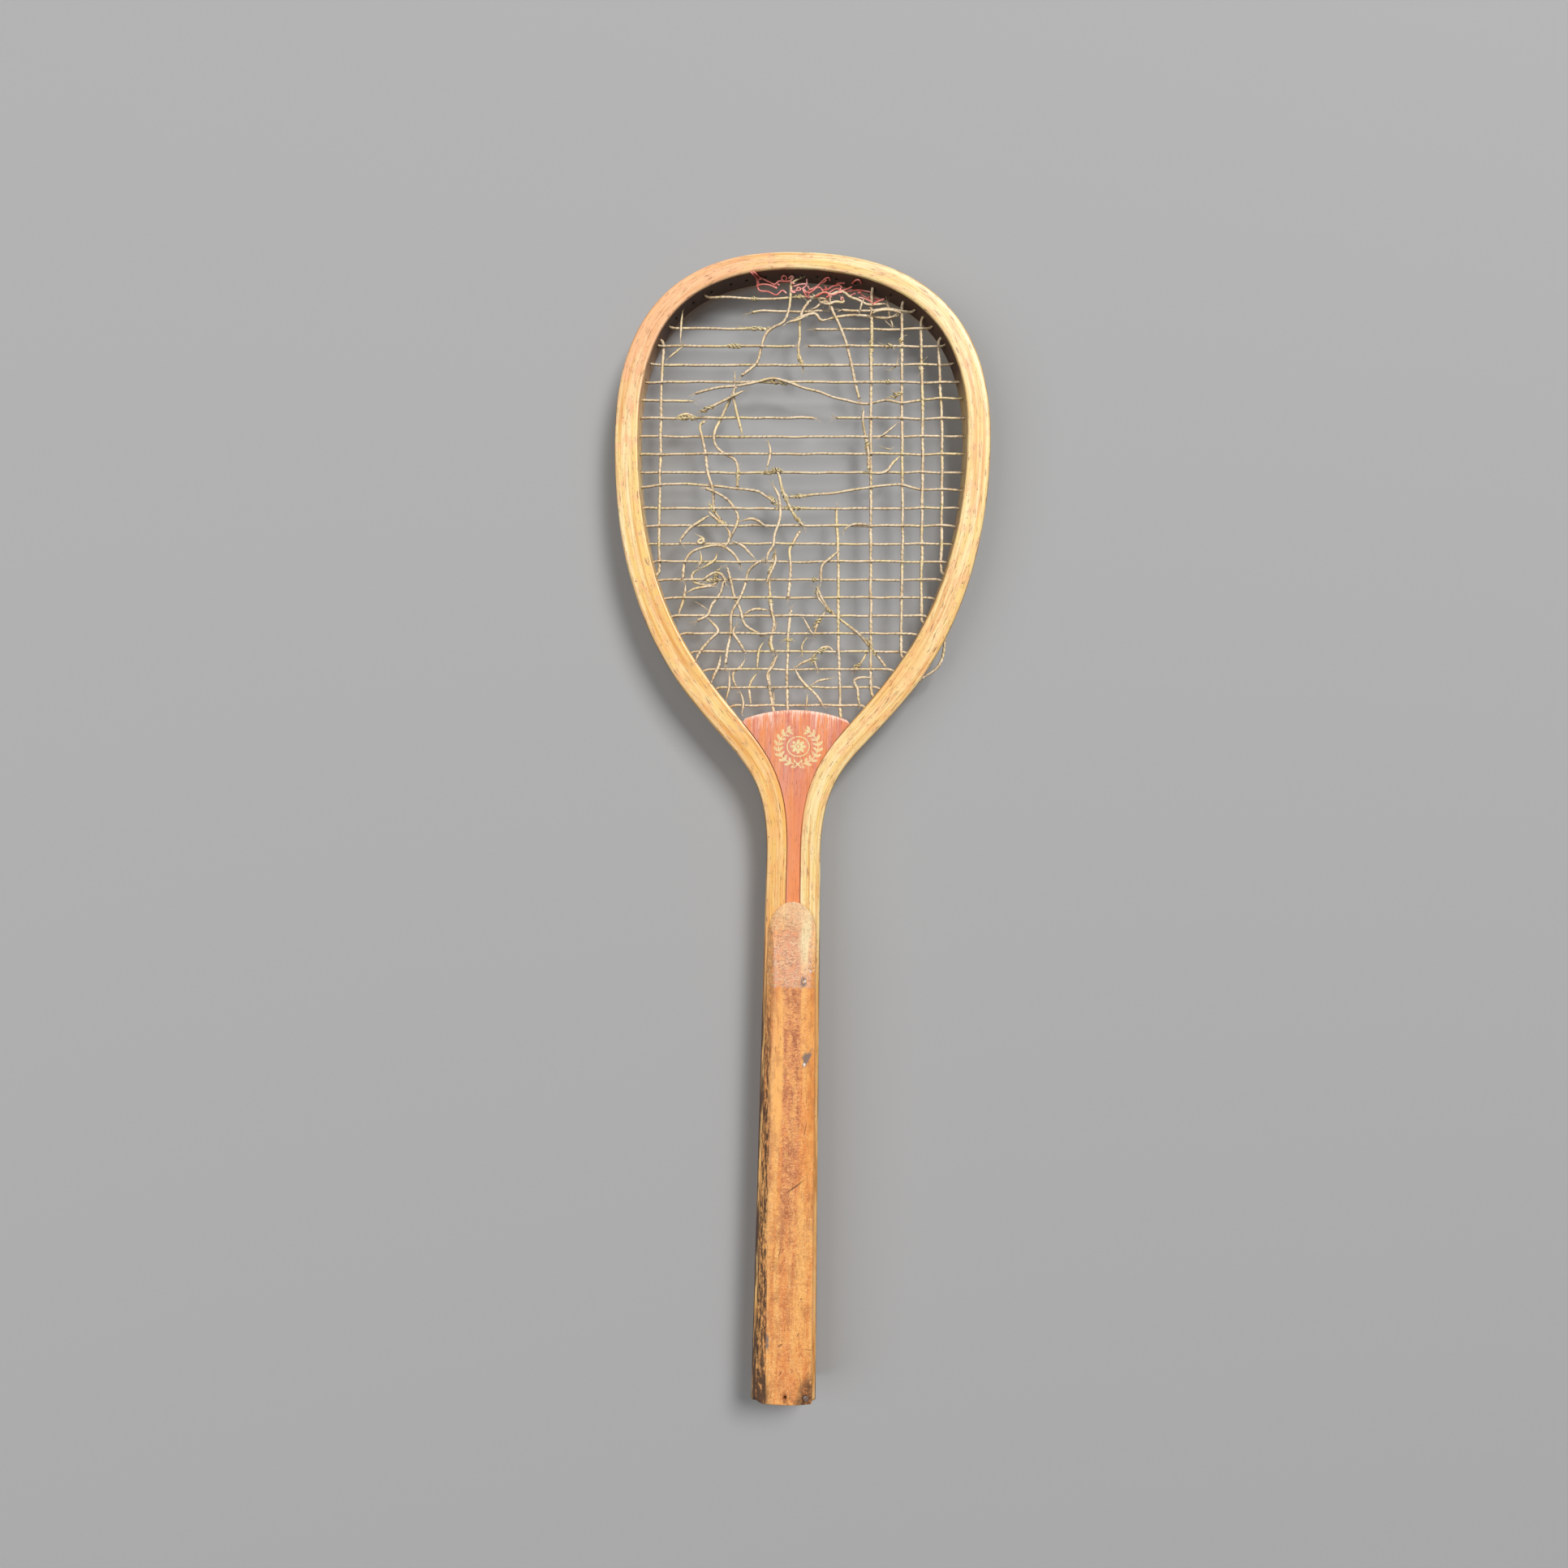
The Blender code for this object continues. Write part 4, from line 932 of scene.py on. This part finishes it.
def makeWedge():
    nothingSelected()
    outline = wedgeOutline()
    bpy.ops.mesh.primitive_circle_add(vertices=len(outline), radius=0.1, fill_type="NGON")
    wedge = bpy.context.object
    wedge.name = wedge.data.name = "mahoganyWedge"
    for vertex, point in zip(wedge.data.vertices, outline):
        vertex.co = point + racketShift - Vector((0, 0, bowLook["depth"] / 2))
    bpy.ops.object.mode_set(mode="EDIT")
    bpy.ops.mesh.select_all(action="SELECT")
    bpy.ops.mesh.extrude_region_move(TRANSFORM_OT_translate={"value": (0, 0, bowLook["depth"])})
    bpy.ops.mesh.select_all(action="SELECT")
    bpy.ops.mesh.normals_make_consistent(inside=False)
    foot = wedgeLook["crownTop"] - wedgeLook["crownRise"] + racketShift.y + 0.00005
    for crown, offset, segments in ((True, wedgeLook["crownRound"], 5), (False, wedgeLook["edgeRound"], 2)):
        shape = bmesh.from_edit_mesh(wedge.data)
        for edge in shape.edges:
            a, b = (vertex.co for vertex in edge.verts)
            flat = abs(a.z - b.z) < 0.0001 and abs(abs(a.z - racketShift.z) - bowLook["depth"] / 2) < 0.00001
            edge.select = flat and (min(a.y, b.y) > foot) == crown and not edge.is_manifold is False
            if not crown and max(a.y, b.y) > foot:
                edge.select = False
        bmesh.update_edit_mesh(wedge.data)
        bpy.ops.mesh.bevel(offset=offset, segments=segments, profile=0.5, clamp_overlap=True)
    bpy.ops.object.mode_set(mode="OBJECT")
    bars = []
    ends = [gutLines[name][0 if gutLines[name][0].y < gutLines[name][-1].y else -1]
            for name in ("main_07_lower", "main_08_lower", "main_11")]
    places = [end.x - racketShift.x for end in ends] + list(wedgeLook["holes"])
    for x in places:
        top = Vector((x, wedgeLook["crownTop"] + 0.002, 0)) + racketShift
        low = Vector((x, crownHeight(x) - wedgeLook["holeDepth"], 0)) + racketShift
        bars.append(bar(low, top, bowLook["hole"]))
    cutWith(wedge, joined(bars, "crownBars"))
    nothingSelected()
    wedge.select_set(True)
    bpy.context.view_layer.objects.active = wedge
    bpy.ops.object.shade_smooth_by_angle(angle=math.radians(32))
    return wedge


wedge = makeWedge()
print("wedge made")

# ---- the two cheeks of the handle

cheekLook = {
    "length": 0.2975,
    "arch": 0.0190,
    "slope": 0.0520,
    "tip": 0.0007,
    "thickness": 0.0055,
    "wideBevel": 0.0052,
    "narrowBevel": 0.0006,
    "arris": 0.0013,  # how far the worn arrises are rounded
    "crown": 0.0022,  # how much lower the face is at its long edges, at the butt
    "buttRound": 0.0011,
    "along": 420,
    "around": 48,
}


def softLow(a, b, soft):
    # the lower of two heights, with the corner between them rounded
    gap = max(soft - abs(a - b), 0.0) / soft
    return min(a, b) - gap * gap * soft / 4


def cheekHeight(share, y, half, seed):
    below = cheekLook["length"] - y
    rise = min(1.0, below / cheekLook["slope"])
    thick = mixed(cheekLook["tip"], cheekLook["thickness"], math.sin(rise * math.pi / 2))
    x = mixed(-half, half, share)
    worn = 1 + 0.35 * rough((x, y, seed), 0.02)
    steep = thick / cheekLook["thickness"]
    left = (x + half) / (cheekLook["wideBevel"] * steep + 0.0001) * thick
    right = (half - x) / (cheekLook["narrowBevel"] * steep + 0.0001) * thick
    bow = ((x - 0.002) / half) ** 2 * cheekLook["crown"] * max(0.0, 1 - y / 0.30) * worn
    height = softLow(softLow(left, thick - bow * (0.25 if seed else 1.0), cheekLook["arris"] * steep * worn + 0.0001),
                     right, cheekLook["arris"] * steep + 0.0001)
    if y < cheekLook["buttRound"]:
        radius = cheekLook["buttRound"]
        height -= radius - math.sqrt(radius ** 2 - (radius - y) ** 2)
    dents = 0.00006 * rough((x, y * 0.3, seed), 0.004, 5) + 0.00005 * rough((x, y, seed), 0.0011, 8)
    return max(0.0, height + dents * rise * min(1.0, height / 0.001))


def cheekLevel(along):
    # levels are closer together in the arch and at the butt
    if along < 0.06:
        return 0.0025 * (along / 0.06) ** 1.5
    if along > 0.8:
        angle = (1 - along) / 0.2 * math.pi / 2
        return cheekLook["length"] - cheekLook["arch"] * (1 - math.cos(angle))
    return mixed(0.0025, cheekLook["length"] - cheekLook["arch"], (along - 0.06) / 0.74)


def makeCheek(name, seed, back):
    foot = bowLook["depth"] / 2 + 0.00025
    faceSteps = cheekLook["around"] - 4

    def placing(around, along):
        y = cheekLevel(along)
        below = cheekLook["length"] - y
        across = max(0.0, 1 - below / cheekLook["arch"])
        half = (legCentre(y) + 0.0123 / 2 - 0.0022) * math.sqrt(max(0.0001, 1 - across ** 2))
        step = around * cheekLook["around"]
        if step <= faceSteps:
            even = step / faceSteps
            share = 0.5 - 0.5 * math.cos(even * math.pi) if half > 0.003 else even
            share = mixed(even, share, 0.75)
            height = min(cheekHeight(share, y, half, seed), cheekLook["thickness"])
            point = Vector((mixed(-half, half, share), y, foot + height))
            if step in (0, faceSteps):
                point.z = foot
        else:
            point = Vector((mixed(half, -half, (step - faceSteps) / 4), y, foot))
        if back:
            point = Vector((-point.x, point.y, -point.z))
        return point + racketShift

    cheek = bentGrid(name, cheekLook["around"], cheekLook["along"], placing, 0.05, cheekLook["length"])
    return cheek


frontCheek = makeCheek("frontCheek", 0, False)
backCheek = makeCheek("backCheek", 7, True)
nailHoles = [bar(Vector((0.0133, 0.005, 0.004)) + racketShift, Vector((0.0133, 0.005, 0.017)) + racketShift, 0.0011),
             bar(Vector((0.0008, 0.005, 0.005)) + racketShift, Vector((0.0008, 0.005, 0.017)) + racketShift, 0.0011)]
cutWith(frontCheek, joined(nailHoles, "nailBars"))
print("cheeks made")

# ---- strings, knots and frayed ends

stringLook = {
    "clear": 0.0007,  # of a loose strand from the bow
    "radius": {"cross": 0.00086, "main": 0.00100, "loose": 0.00094},
    "lumps": (  # across, up, half length in millimetres, and turn in degrees
        (-30, 661, 2, 0), (-3, 662, 2.5, 0), (-29.5, 644, 7.5, 0), (-41.5, 632, 4.5, 0),
        (-69, 588.5, 7, 0), (-58, 594, 4, 25), (-13, 611, 10, -6), (-1.5, 624.5, 4.5, -62),
        (41.5, 630, 8, 90), (59.5, 636, 4, 90), (71.5, 622, 3.5, 90), (51, 633, 3, 0),
        (55.5, 603.5, 4, 25), (51.5, 610.5, 2, 0), (39, 573.5, 3, 85), (-20.5, 556.5, 3.5, 0),
        (-14.5, 558, 3, 0), (-38, 554, 3.5, 90), (-0.5, 542, 4, 5), (-8, 541.5, 4.5, -62),
        (-4.5, 535.5, 6.5, 0), (-16, 539.5, 4, -50), (-53.5, 532.5, 3.5, -55), (-45.5, 527, 3, -20),
        (-0.5, 527, 3.5, -45), (-59, 502, 1.5, 90), (-49.5, 493.5, 3, 60), (-52, 489.5, 4.5, 8),
        (-15.5, 506, 2, 70), (-17.5, 495.5, 4, 78), (-17.5, 477.5, 4, -80), (13.5, 480.5, 5, -52),
        (18.5, 472.5, 2.5, -30), (12, 466, 4.5, 55), (44.5, 451.5, 5, -68), (14.5, 449, 4.5, 25),
        (36.5, 439, 3, 50), (10, 443, 2, 40), (-8.5, 455.5, 2.5, 0), (9, 490.5, 1.5, 0),
    ),
}
looseRoutes = (  # strands that hang loose, in millimetres across and up from the butt
    ((-41, 606), (-41.5, 601), (-40, 593.5), (-37, 583.5), (-36, 579)),
    ((-36, 605), (-42, 602), (-47, 599), (-53, 596), (-57, 594), (-60.5, 592)),
    ((-55.5, 529), (-60.5, 525.5), (-66.5, 521.5), (-70.5, 516.5), (-72.5, 513.5), (-71, 511.5)),
    ((-55.5, 533), (-54, 530), (-49.5, 526.5), (-44.5, 523)),
    ((-34.5, 526.5), (-30, 528), (-25, 526.5), (-21, 523.5)),
    ((-44.5, 522), (-42, 518.5), (-43, 513.5), (-45.5, 510.5)),
    ((-39.5, 513.5), (-34.5, 511.5), (-30.5, 507.5), (-27, 504)),
    ((-68.5, 486.5), (-69, 480), (-71.5, 472.5), (-72.5, 468.5)),
    ((-61.5, 517), (-57.5, 515), (-59.5, 512), (-62, 513), (-59, 515.5), (-57, 513)),
    ((-60, 507), (-59, 502), (-61, 498.5)),
    ((-50, 506), (-50.5, 502.5), (-55.5, 499), (-58.5, 497.5)),
    ((-61, 496.5), (-64, 494.5), (-65, 491.5), (-63, 488.5), (-56, 487), (-50, 488), (-49, 492.5)),
    ((-58.5, 490), (-53.5, 493.5), (-49, 494.5), (-45.5, 492.5), (-44.5, 488.5)),
    ((-67, 482.5), (-63.5, 484.5), (-56, 486), (-51, 486.5)),
    ((-59, 475), (-56, 473)),
    ((-33, 469.5), (-30, 471.5), (-25.5, 473), (-18, 472.5)),
    ((-15.5, 558), (-13, 554.5), (-11.5, 547.5), (-9, 541.5), (-7, 536.5), (-3, 530), (2.5, 524)),
    ((-16.5, 548), (-13, 541.5), (-12, 531.5), (-13, 525), (-15, 518), (-15.5, 512), (-19, 507),
     (-19.5, 501.5)),
    ((-14.5, 506.5), (-14, 503), (-15.5, 498), (-18, 493), (-19.5, 489)),
    ((-17.5, 488), (-17, 476), (-16, 470), (-13.5, 463.5), (-16, 456.5), (-17.5, 452.5), (-15, 447.5)),
    ((-12.5, 445), (-14.5, 439), (-18, 434), (-16.5, 427)),
    ((-54, 466.5), (-50.5, 463), (-48, 459), (-52.5, 454.5), (-57, 449.5), (-60, 445), (-61.5, 440.5)),
    ((-46.5, 443.5), (-47, 438.5), (-49.5, 433.5), (-51.5, 428.5)),
    ((-32, 441.5), (-34.5, 437.5), (-38, 435), (-38.5, 430), (-36, 425)),
    ((-37.5, 462.5), (-39.5, 459.5), (-37.5, 456), (-34.5, 452), (-31.5, 447)),
    ((-21, 452.5), (-23, 449), (-24, 444), (-24, 438)),
    ((-20, 574), (-18.5, 569.5), (-19, 564.5), (-20.5, 559.5)),
    ((17, 472.5), (13, 468), (11, 463), (10, 458.5)),
    ((11.5, 486), (11.5, 481.5), (15.5, 476.5)),
    ((3.5, 468), (7, 461.5), (9.5, 458.5)),
    ((5, 455.5), (3, 452), (3, 447)),
    ((-1, 438), (2.5, 441), (8.5, 443.5), (11, 447), (14.5, 450.5), (19.5, 451), (22.5, 447.5)),
    ((10, 443.5), (12.5, 437)),
    ((-1, 437), (1.5, 432), (6.5, 427), (10, 424), (14, 419), (16.5, 415)),
    ((9, 427.5), (13, 430.5), (21, 432)),
    ((43, 450), (40.5, 445), (35, 437.5)),
    ((44.5, 433), (38.5, 433), (34.5, 431), (35, 429), (37, 425.5), (37, 421.5), (38.5, 416.5)),
    ((59.5, 567), (55.5, 562.5), (52.5, 558.5), (48.5, 557), (41, 557)),
    ((57, 586.5), (53, 583), (48, 579)),
    ((57.5, 626), (57, 622.5), (53.5, 620)),
    ((55.5, 606.5), (58, 603)),
    ((27, 522), (31.5, 525.5), (41.5, 525.5)),
    ((23, 508.5), (18.5, 504.5), (14, 500), (13.5, 490)),
    ((-14, 423), (-13.5, 417), (-14, 413.5)),
    ((6.5, 421.5), (6, 414.5)),
    ((-34, 422.5), (-32, 416.5), (-33, 409.5)),
    ((-41, 433.5), (-40.5, 426.5), (-42.5, 418.5)),
    ((-24.5, 434), (-27.5, 429), (-28.5, 424), (-27.5, 415.5)),
    ((-73.5, 651.5), (-74.5, 635.5)),
    ((-73.5, 631), (-81.5, 624)),
    ((40, 652.5), (44, 655), (49, 656), (55, 655.5), (59, 654)),
    ((14.5, 649.5), (19.5, 650.5), (27, 652), (34.5, 652), (44, 651), (51.5, 650.5), (58, 653)),
    ((-5, 649.5), (6, 653), (8.5, 651), (10.5, 648.5), (14.5, 649.5)),
    ((7, 663.5), (13.5, 666), (15.5, 664), (19, 665.5), (24, 666), (27.5, 663), (33, 661.5), (39, 658.5),
     (49, 659.5)),
    ((-8, 670), (-6.5, 672), (-5, 673), (-3, 673.5)),
    ((4.5, 665), (6.5, 663.5), (8.5, 662)),
    ((5, 655.5), (7, 656), (9, 658), (11, 660), (13.5, 660.5), (16, 659)),
    ((9.5, 660), (12, 659), (15, 658.5), (18, 660), (21.5, 660), (24, 659.5), (24.5, 660.5), (23.5, 662)),
    ((36, 661.5), (35, 660), (34.5, 657.5), (34, 655)),
    ((50.5, 660.5), (51, 658), (51.5, 655), (52, 652.5), (53, 649.5), (54, 646)),
    ((40.5, 656.5), (41, 653.5), (40, 651.5)),
    ((-10.5, 646.5), (-7.5, 648), (-4, 648.5), (0, 650.5)),
    ((56, 653.5), (54, 651.5), (50, 651)),
    ((48.5, 651), (50, 648.5), (52.5, 646.5)),
    ((15.5, 663), (16, 660.5), (15.5, 658)),
    ((-41, 616), (-41, 609.5)),
    ((51, 572), (54, 571.5)),
    ((-76.5, 588), (-72.5, 590), (-68.5, 590.5), (-64.5, 588.5)),
)


def smoothRoute(places, spacing=0.0009):
    points = [Vector((x / 1000, y / 1000, 0)) for x, y in places]
    line = []
    for index in range(len(points) - 1):
        before, a, b = points[max(index - 1, 0)], points[index], points[index + 1]
        after = points[min(index + 2, len(points) - 1)]
        count = max(2, round((b - a).length / spacing))
        line += interpolate_bezier(a, a + (b - before) / 6, b - (after - a) / 6, b, count + 1)[:-1]
    return [point + racketShift for point in line + [points[-1]]]


laidPoints = [point for line in gutLines.values() for point in line]


def raised(point, height):
    # the place at another height that the camera sees at the same spot
    eye = Vector(cameraLook["place"])
    return eye + (point - eye) * ((eye.z - height) / (eye.z - point.z))


def clearOfBow(point):
    _, index, _ = bowPoints.find(Vector((point.x, point.y, racketShift.z)))
    centre, width = bowLine[index]
    return -(point - racketShift - centre).dot(bowSides[index]) - width / 2 > stringLook["clear"]


def laidOver(line, reach, over):
    # gives a loose line its heights, so that it lies over or under what is there already
    tree = KDTree(len(laidPoints))
    for index, point in enumerate(laidPoints):
        tree.insert((point.x, point.y, 0), index)
    tree.balance()
    heights = {}
    for index, point in enumerate(line):
        near = [laidPoints[found[1]].z for found in tree.find_range((point.x, point.y, 0), reach)]
        if near:
            heights[index] = max(near) + reach if over else min(near) - reach
    marks = sorted(heights)
    laid = []
    for index, point in enumerate(line):
        lower = [mark for mark in marks if mark <= index]
        upper = [mark for mark in marks if mark > index]
        if lower and upper:
            share = (index - lower[-1]) / (upper[0] - lower[-1])
            z = mixed(heights[lower[-1]], heights[upper[0]], share)
        elif marks:
            z = heights[lower[-1] if lower else upper[0]]
        else:
            z = racketShift.z
        z = min(max(z, racketShift.z - 0.0075), racketShift.z + 0.0075)
        while not clearOfBow(raised(point, z)) and z < racketShift.z + 0.0085:
            z += 0.0005
        laid.append(raised(point, z))
    laid = softened(laid, 4)
    laidPoints.extend(laid)
    return laid


chance = random.Random(20)


def frayAt(tip, away, count, length, radius=0.00014):
    # fine fibres that stand off a broken end
    fibres = []
    for number in range(count):
        turn = Vector((chance.uniform(-1, 1), chance.uniform(-1, 1), chance.uniform(-0.5, 0.7))) * 0.38
        aim = (away + turn).normalized()
        bend = Vector((chance.uniform(-1, 1), chance.uniform(-1, 1), chance.uniform(-0.4, 0.4))) * length * 0.5
        reach = length * chance.uniform(0.45, 1.1)
        start = tip - aim * 0.0006
        line = [start + aim * reach * step / 6 + bend * (step / 6) ** 2 for step in range(7)]
        fibres.append(strandPiece("fibre", line, radius * chance.uniform(0.7, 1.6), number * 2.1, 5, 0.6))
    return fibres


def windAt(centre, half, turn, number):
    # a lump where gut fibres are wound and frayed round a strand
    forwards = Vector((math.cos(turn), math.sin(turn), 0))
    sideways = Vector((-forwards.y, forwards.x, 0))
    bits = []
    for twist in range(3):
        line = []
        turns = half * 1000 * 0.17 + 0.5
        reach = half * chance.uniform(0.75, 1.15)
        slip = half * chance.uniform(-0.2, 0.2)
        steps = int(turns * 16)
        for step in range(steps + 1):
            share = step / steps
            angle = share * turns * math.tau + twist * 2.1 + 1.6 * rough((share * 3, number, twist), 1)
            swell = 0.0005 + 0.0010 * math.sin(share * math.pi) ** 0.7 * (0.7 + 0.8 * rough((share * 4, number, 0), 1))
            line.append(centre + forwards * (mixed(-reach, reach, share) + slip) + sideways * swell * math.cos(angle)
                        + Vector((0, 0, swell * math.sin(angle))))
        bits.append(strandPiece("wound", line, 0.00040, number + twist, 6, 0, 0.0020))
    for side in (-1, 1):
        away = forwards * side + sideways * chance.uniform(-0.6, 0.6)
        bits += frayAt(centre + forwards * half * side * 0.7 + Vector((0, 0, 0.0006)), away, 3, 0.0040)
    return bits


def wavering(line, seed):
    # old strings are no longer quite straight
    waved = []
    for index, point in enumerate(line):
        ease = min(index, len(line) - 1 - index, 6) / 6
        waved.append(point + Vector((rough(point, 0.011, seed), rough(point, 0.011, seed + 7), 0)) * 0.00045 * ease)
    return waved


for number, name in enumerate(gutNames):
    line = wavering(gutLines[name], number)
    kind = "cross" if name.startswith("cross") else "main" if name.startswith("main") else "loose"
    strand = strandPiece("gut_" + name, line, stringLook["radius"][kind], number * 1.37)
    bits = [strand]
    for end, nextPoint in ((line[0], line[2]), (line[-1], line[-3])):
        if bowPoints.find(end)[2] > 0.011 and end.y - racketShift.y > wedgeLook["crownTop"] + 0.002:
            bits += frayAt(end, (end - nextPoint).normalized(), 5, 0.0048)
    dress(joined(bits, "gut_" + name), gut, "gut", name)
print("strings made,", len(gutNames))

looseBits = []
for number, places in enumerate(looseRoutes):
    line = laidOver(smoothRoute(places), 0.0014, number % 4 != 3)
    thick = stringLook["radius"]["loose"] * (1.0 if len(places) > 3 else 0.8)
    looseBits.append(strandPiece("loose", wavering(line, 90 + number), thick, 90 + number, 8, 0, 0.0045))
    looseBits += frayAt(line[0], (line[0] - line[2]).normalized(), 3, 0.0038)
    looseBits += frayAt(line[-1], (line[-1] - line[-3]).normalized(), 3, 0.0038)
looseGut = dress(joined(looseBits, "looseGut"), gut, "gut")
rowTree = KDTree(len(laidPoints))
for index, point in enumerate(laidPoints):
    rowTree.insert(point, index)
rowTree.balance()
windings = []
for number, (x, y, half, turn) in enumerate(stringLook["lumps"]):
    near = rowTree.find(Vector((x / 1000, y / 1000, 0)) + racketShift)[0]
    windings += windAt(near.copy(), half / 1000, math.radians(turn), number * 3.3)
woundGut = dress(joined(windings, "woundGut"), goldenGut, "gut")
print("loose strands and lumps made")

# ---- red trebling at the top

redRoutes = (
    ((-33, 677.5), (-30.5, 675.5), (-28.5, 673), (-27.5, 670)),
    ((-32, 678), (-29, 676), (-27, 674), (-24.5, 673), (-21.5, 671.5), (-18.5, 670), (-17.5, 668.5),
     (-16.5, 667.5)),
    ((-28, 672.5), (-26, 673.5)),
    ((-29, 668.5), (-27.5, 669.5), (-24.5, 670), (-21, 669.5), (-18.5, 668.5), (-16.5, 667.5)),
    ((-15, 669.5), (-16.5, 670.5), (-16, 672), (-14.5, 672), (-12.5, 672), (-9.5, 672), (-7.5, 673),
     (-6.5, 674.5), (-7.5, 675.5), (-9, 674.5), (-9.5, 673.5)),
    ((-11.5, 672), (-10.5, 674), (-12, 675.5), (-13.5, 675), (-14, 673.5), (-12.5, 672)),
    ((-18.5, 669.5), (-16.5, 671), (-15.5, 672)),
    ((-8.5, 671), (-7.5, 671.5), (-6, 670.5)),
    ((-7.5, 669), (-6, 669), (-3.5, 670), (-1, 670.5), (1, 670.5)),
    ((-8.5, 667.5), (-7, 666), (-5, 665.5), (-6.5, 665), (-8, 666)),
    ((-4.5, 666), (-4.5, 668), (-3, 668.5), (-2, 667.5), (-2.5, 666.5), (-4, 666.5)),
    ((1.5, 673.5), (1.5, 672), (1.5, 670.5), (0.5, 669), (-1, 667.5)),
    ((2, 669.5), (3, 667.5), (4.5, 666.5), (6, 667), (7, 668.5), (9.5, 670.5)),
    ((3, 667), (5.5, 668), (7.5, 669), (9.5, 671), (11, 672.5), (12.5, 674), (14.5, 675), (15.5, 674.5),
     (15.5, 673)),
    ((10.5, 671), (12, 672), (13.5, 673.5)),
    ((-1.5, 668), (-0.5, 666.5), (0.5, 664.5), (2, 662.5)),
    ((2, 666), (3, 665), (2.5, 663.5), (3, 662)),
    ((12.5, 669.5), (13.5, 668.5), (13, 667), (11.5, 667.5)),
    ((13, 667), (15, 668), (17, 669.5), (19, 670), (21, 670.5), (22.5, 669.5), (23, 668.5)),
    ((21.5, 668.5), (22.5, 667.5), (20.5, 667)),
    ((21, 667), (23, 667), (26, 668), (29, 669.5)),
    ((19.5, 671), (21.5, 671.5), (24.5, 671.5)),
    ((29, 671.5), (31, 673.5), (32.5, 674), (34, 673), (34.5, 671.5)),
    ((31.5, 667.5), (34, 667.5), (37, 667), (40, 666.5), (41.5, 665), (42.5, 663.5)),
    ((32.5, 666), (33.5, 665.5), (34.5, 666.5)),
    ((33, 663), (36, 662.5), (39, 661.5), (41.5, 660)),
    ((39, 662.5), (40.5, 664.5), (41.5, 662.5), (44, 662.5), (46, 662)),
    ((41.5, 659), (44, 660.5), (46.5, 661.5), (48.5, 662.5)),
    ((7, 663), (9.5, 664.5), (12, 665.5), (14, 665.5), (15, 664.5), (16.5, 662.5)),
    ((26.5, 663.5), (29, 664.5), (31, 665.5)),
    ((23, 661), (22, 662.5), (23, 663), (24, 662)),
    ((13.5, 662.5), (15.5, 664), (18.5, 664.5), (20.5, 665.5), (23, 666)),
)
redBits = []
for number, places in enumerate(redRoutes):
    line = laidOver(smoothRoute(places, 0.0005), 0.0009, number % 3 != 2)
    redBits.append(strandPiece("red", line, 0.00052, 200 + number, 7))
for name in ("trebling_left", "trebling_right"):
    redBits.append(strandPiece("red", softened(lineOf(name, 0.0006), 3), 0.00050, 300, 7))
dress(joined(redBits, "redTrebling"), redGut, "red_gut", "trebling_left", "trebling_right")
print("trebling made")

dress(bow, ash, "ash", "bow")
dress(wedge, mahogany, "mahogany", "throat_wedge")
dress(frontCheek, wornFront, "worn_cheek", "front_cheek")
dress(backCheek, wornBack, "worn_cheek", "back_cheek")
nodes["butt_nail"].data.materials.clear()
nodes["butt_nail"].data.materials.append(rust.material)

# ---- floor and light

nothingSelected()
bpy.ops.mesh.primitive_plane_add(size=6, location=(0, 0, 0))
floor = bpy.context.object
floor.name = "paleFloor"
floorFinish = Finish("palePaper", (0.38, 0.38, 0.38), 0.9)
floor.data.materials.append(floorFinish.material)

lamps = (
    {"place": (2.4, 3.3, 4.4), "size": 2.2, "power": 330},
    {"place": (-2.2, -0.2, 2.4), "size": 2.6, "power": 46},
)
for number, lamp in enumerate(lamps):
    bpy.ops.object.light_add(type="AREA", location=lamp["place"])
    light = bpy.context.object
    light.name = f"lamp{number}"
    light.data.size = lamp["size"]
    light.data.energy = lamp["power"]
    light.rotation_euler = (Vector((0, 0.05, 0)) - light.location).to_track_quat("-Z", "Y").to_euler()
room = bpy.data.worlds.new("room")
room.use_nodes = True
room.node_tree.nodes["Background"].inputs["Color"].default_value = (1, 1, 1, 1)
room.node_tree.nodes["Background"].inputs["Strength"].default_value = 0.18
scene.world = room
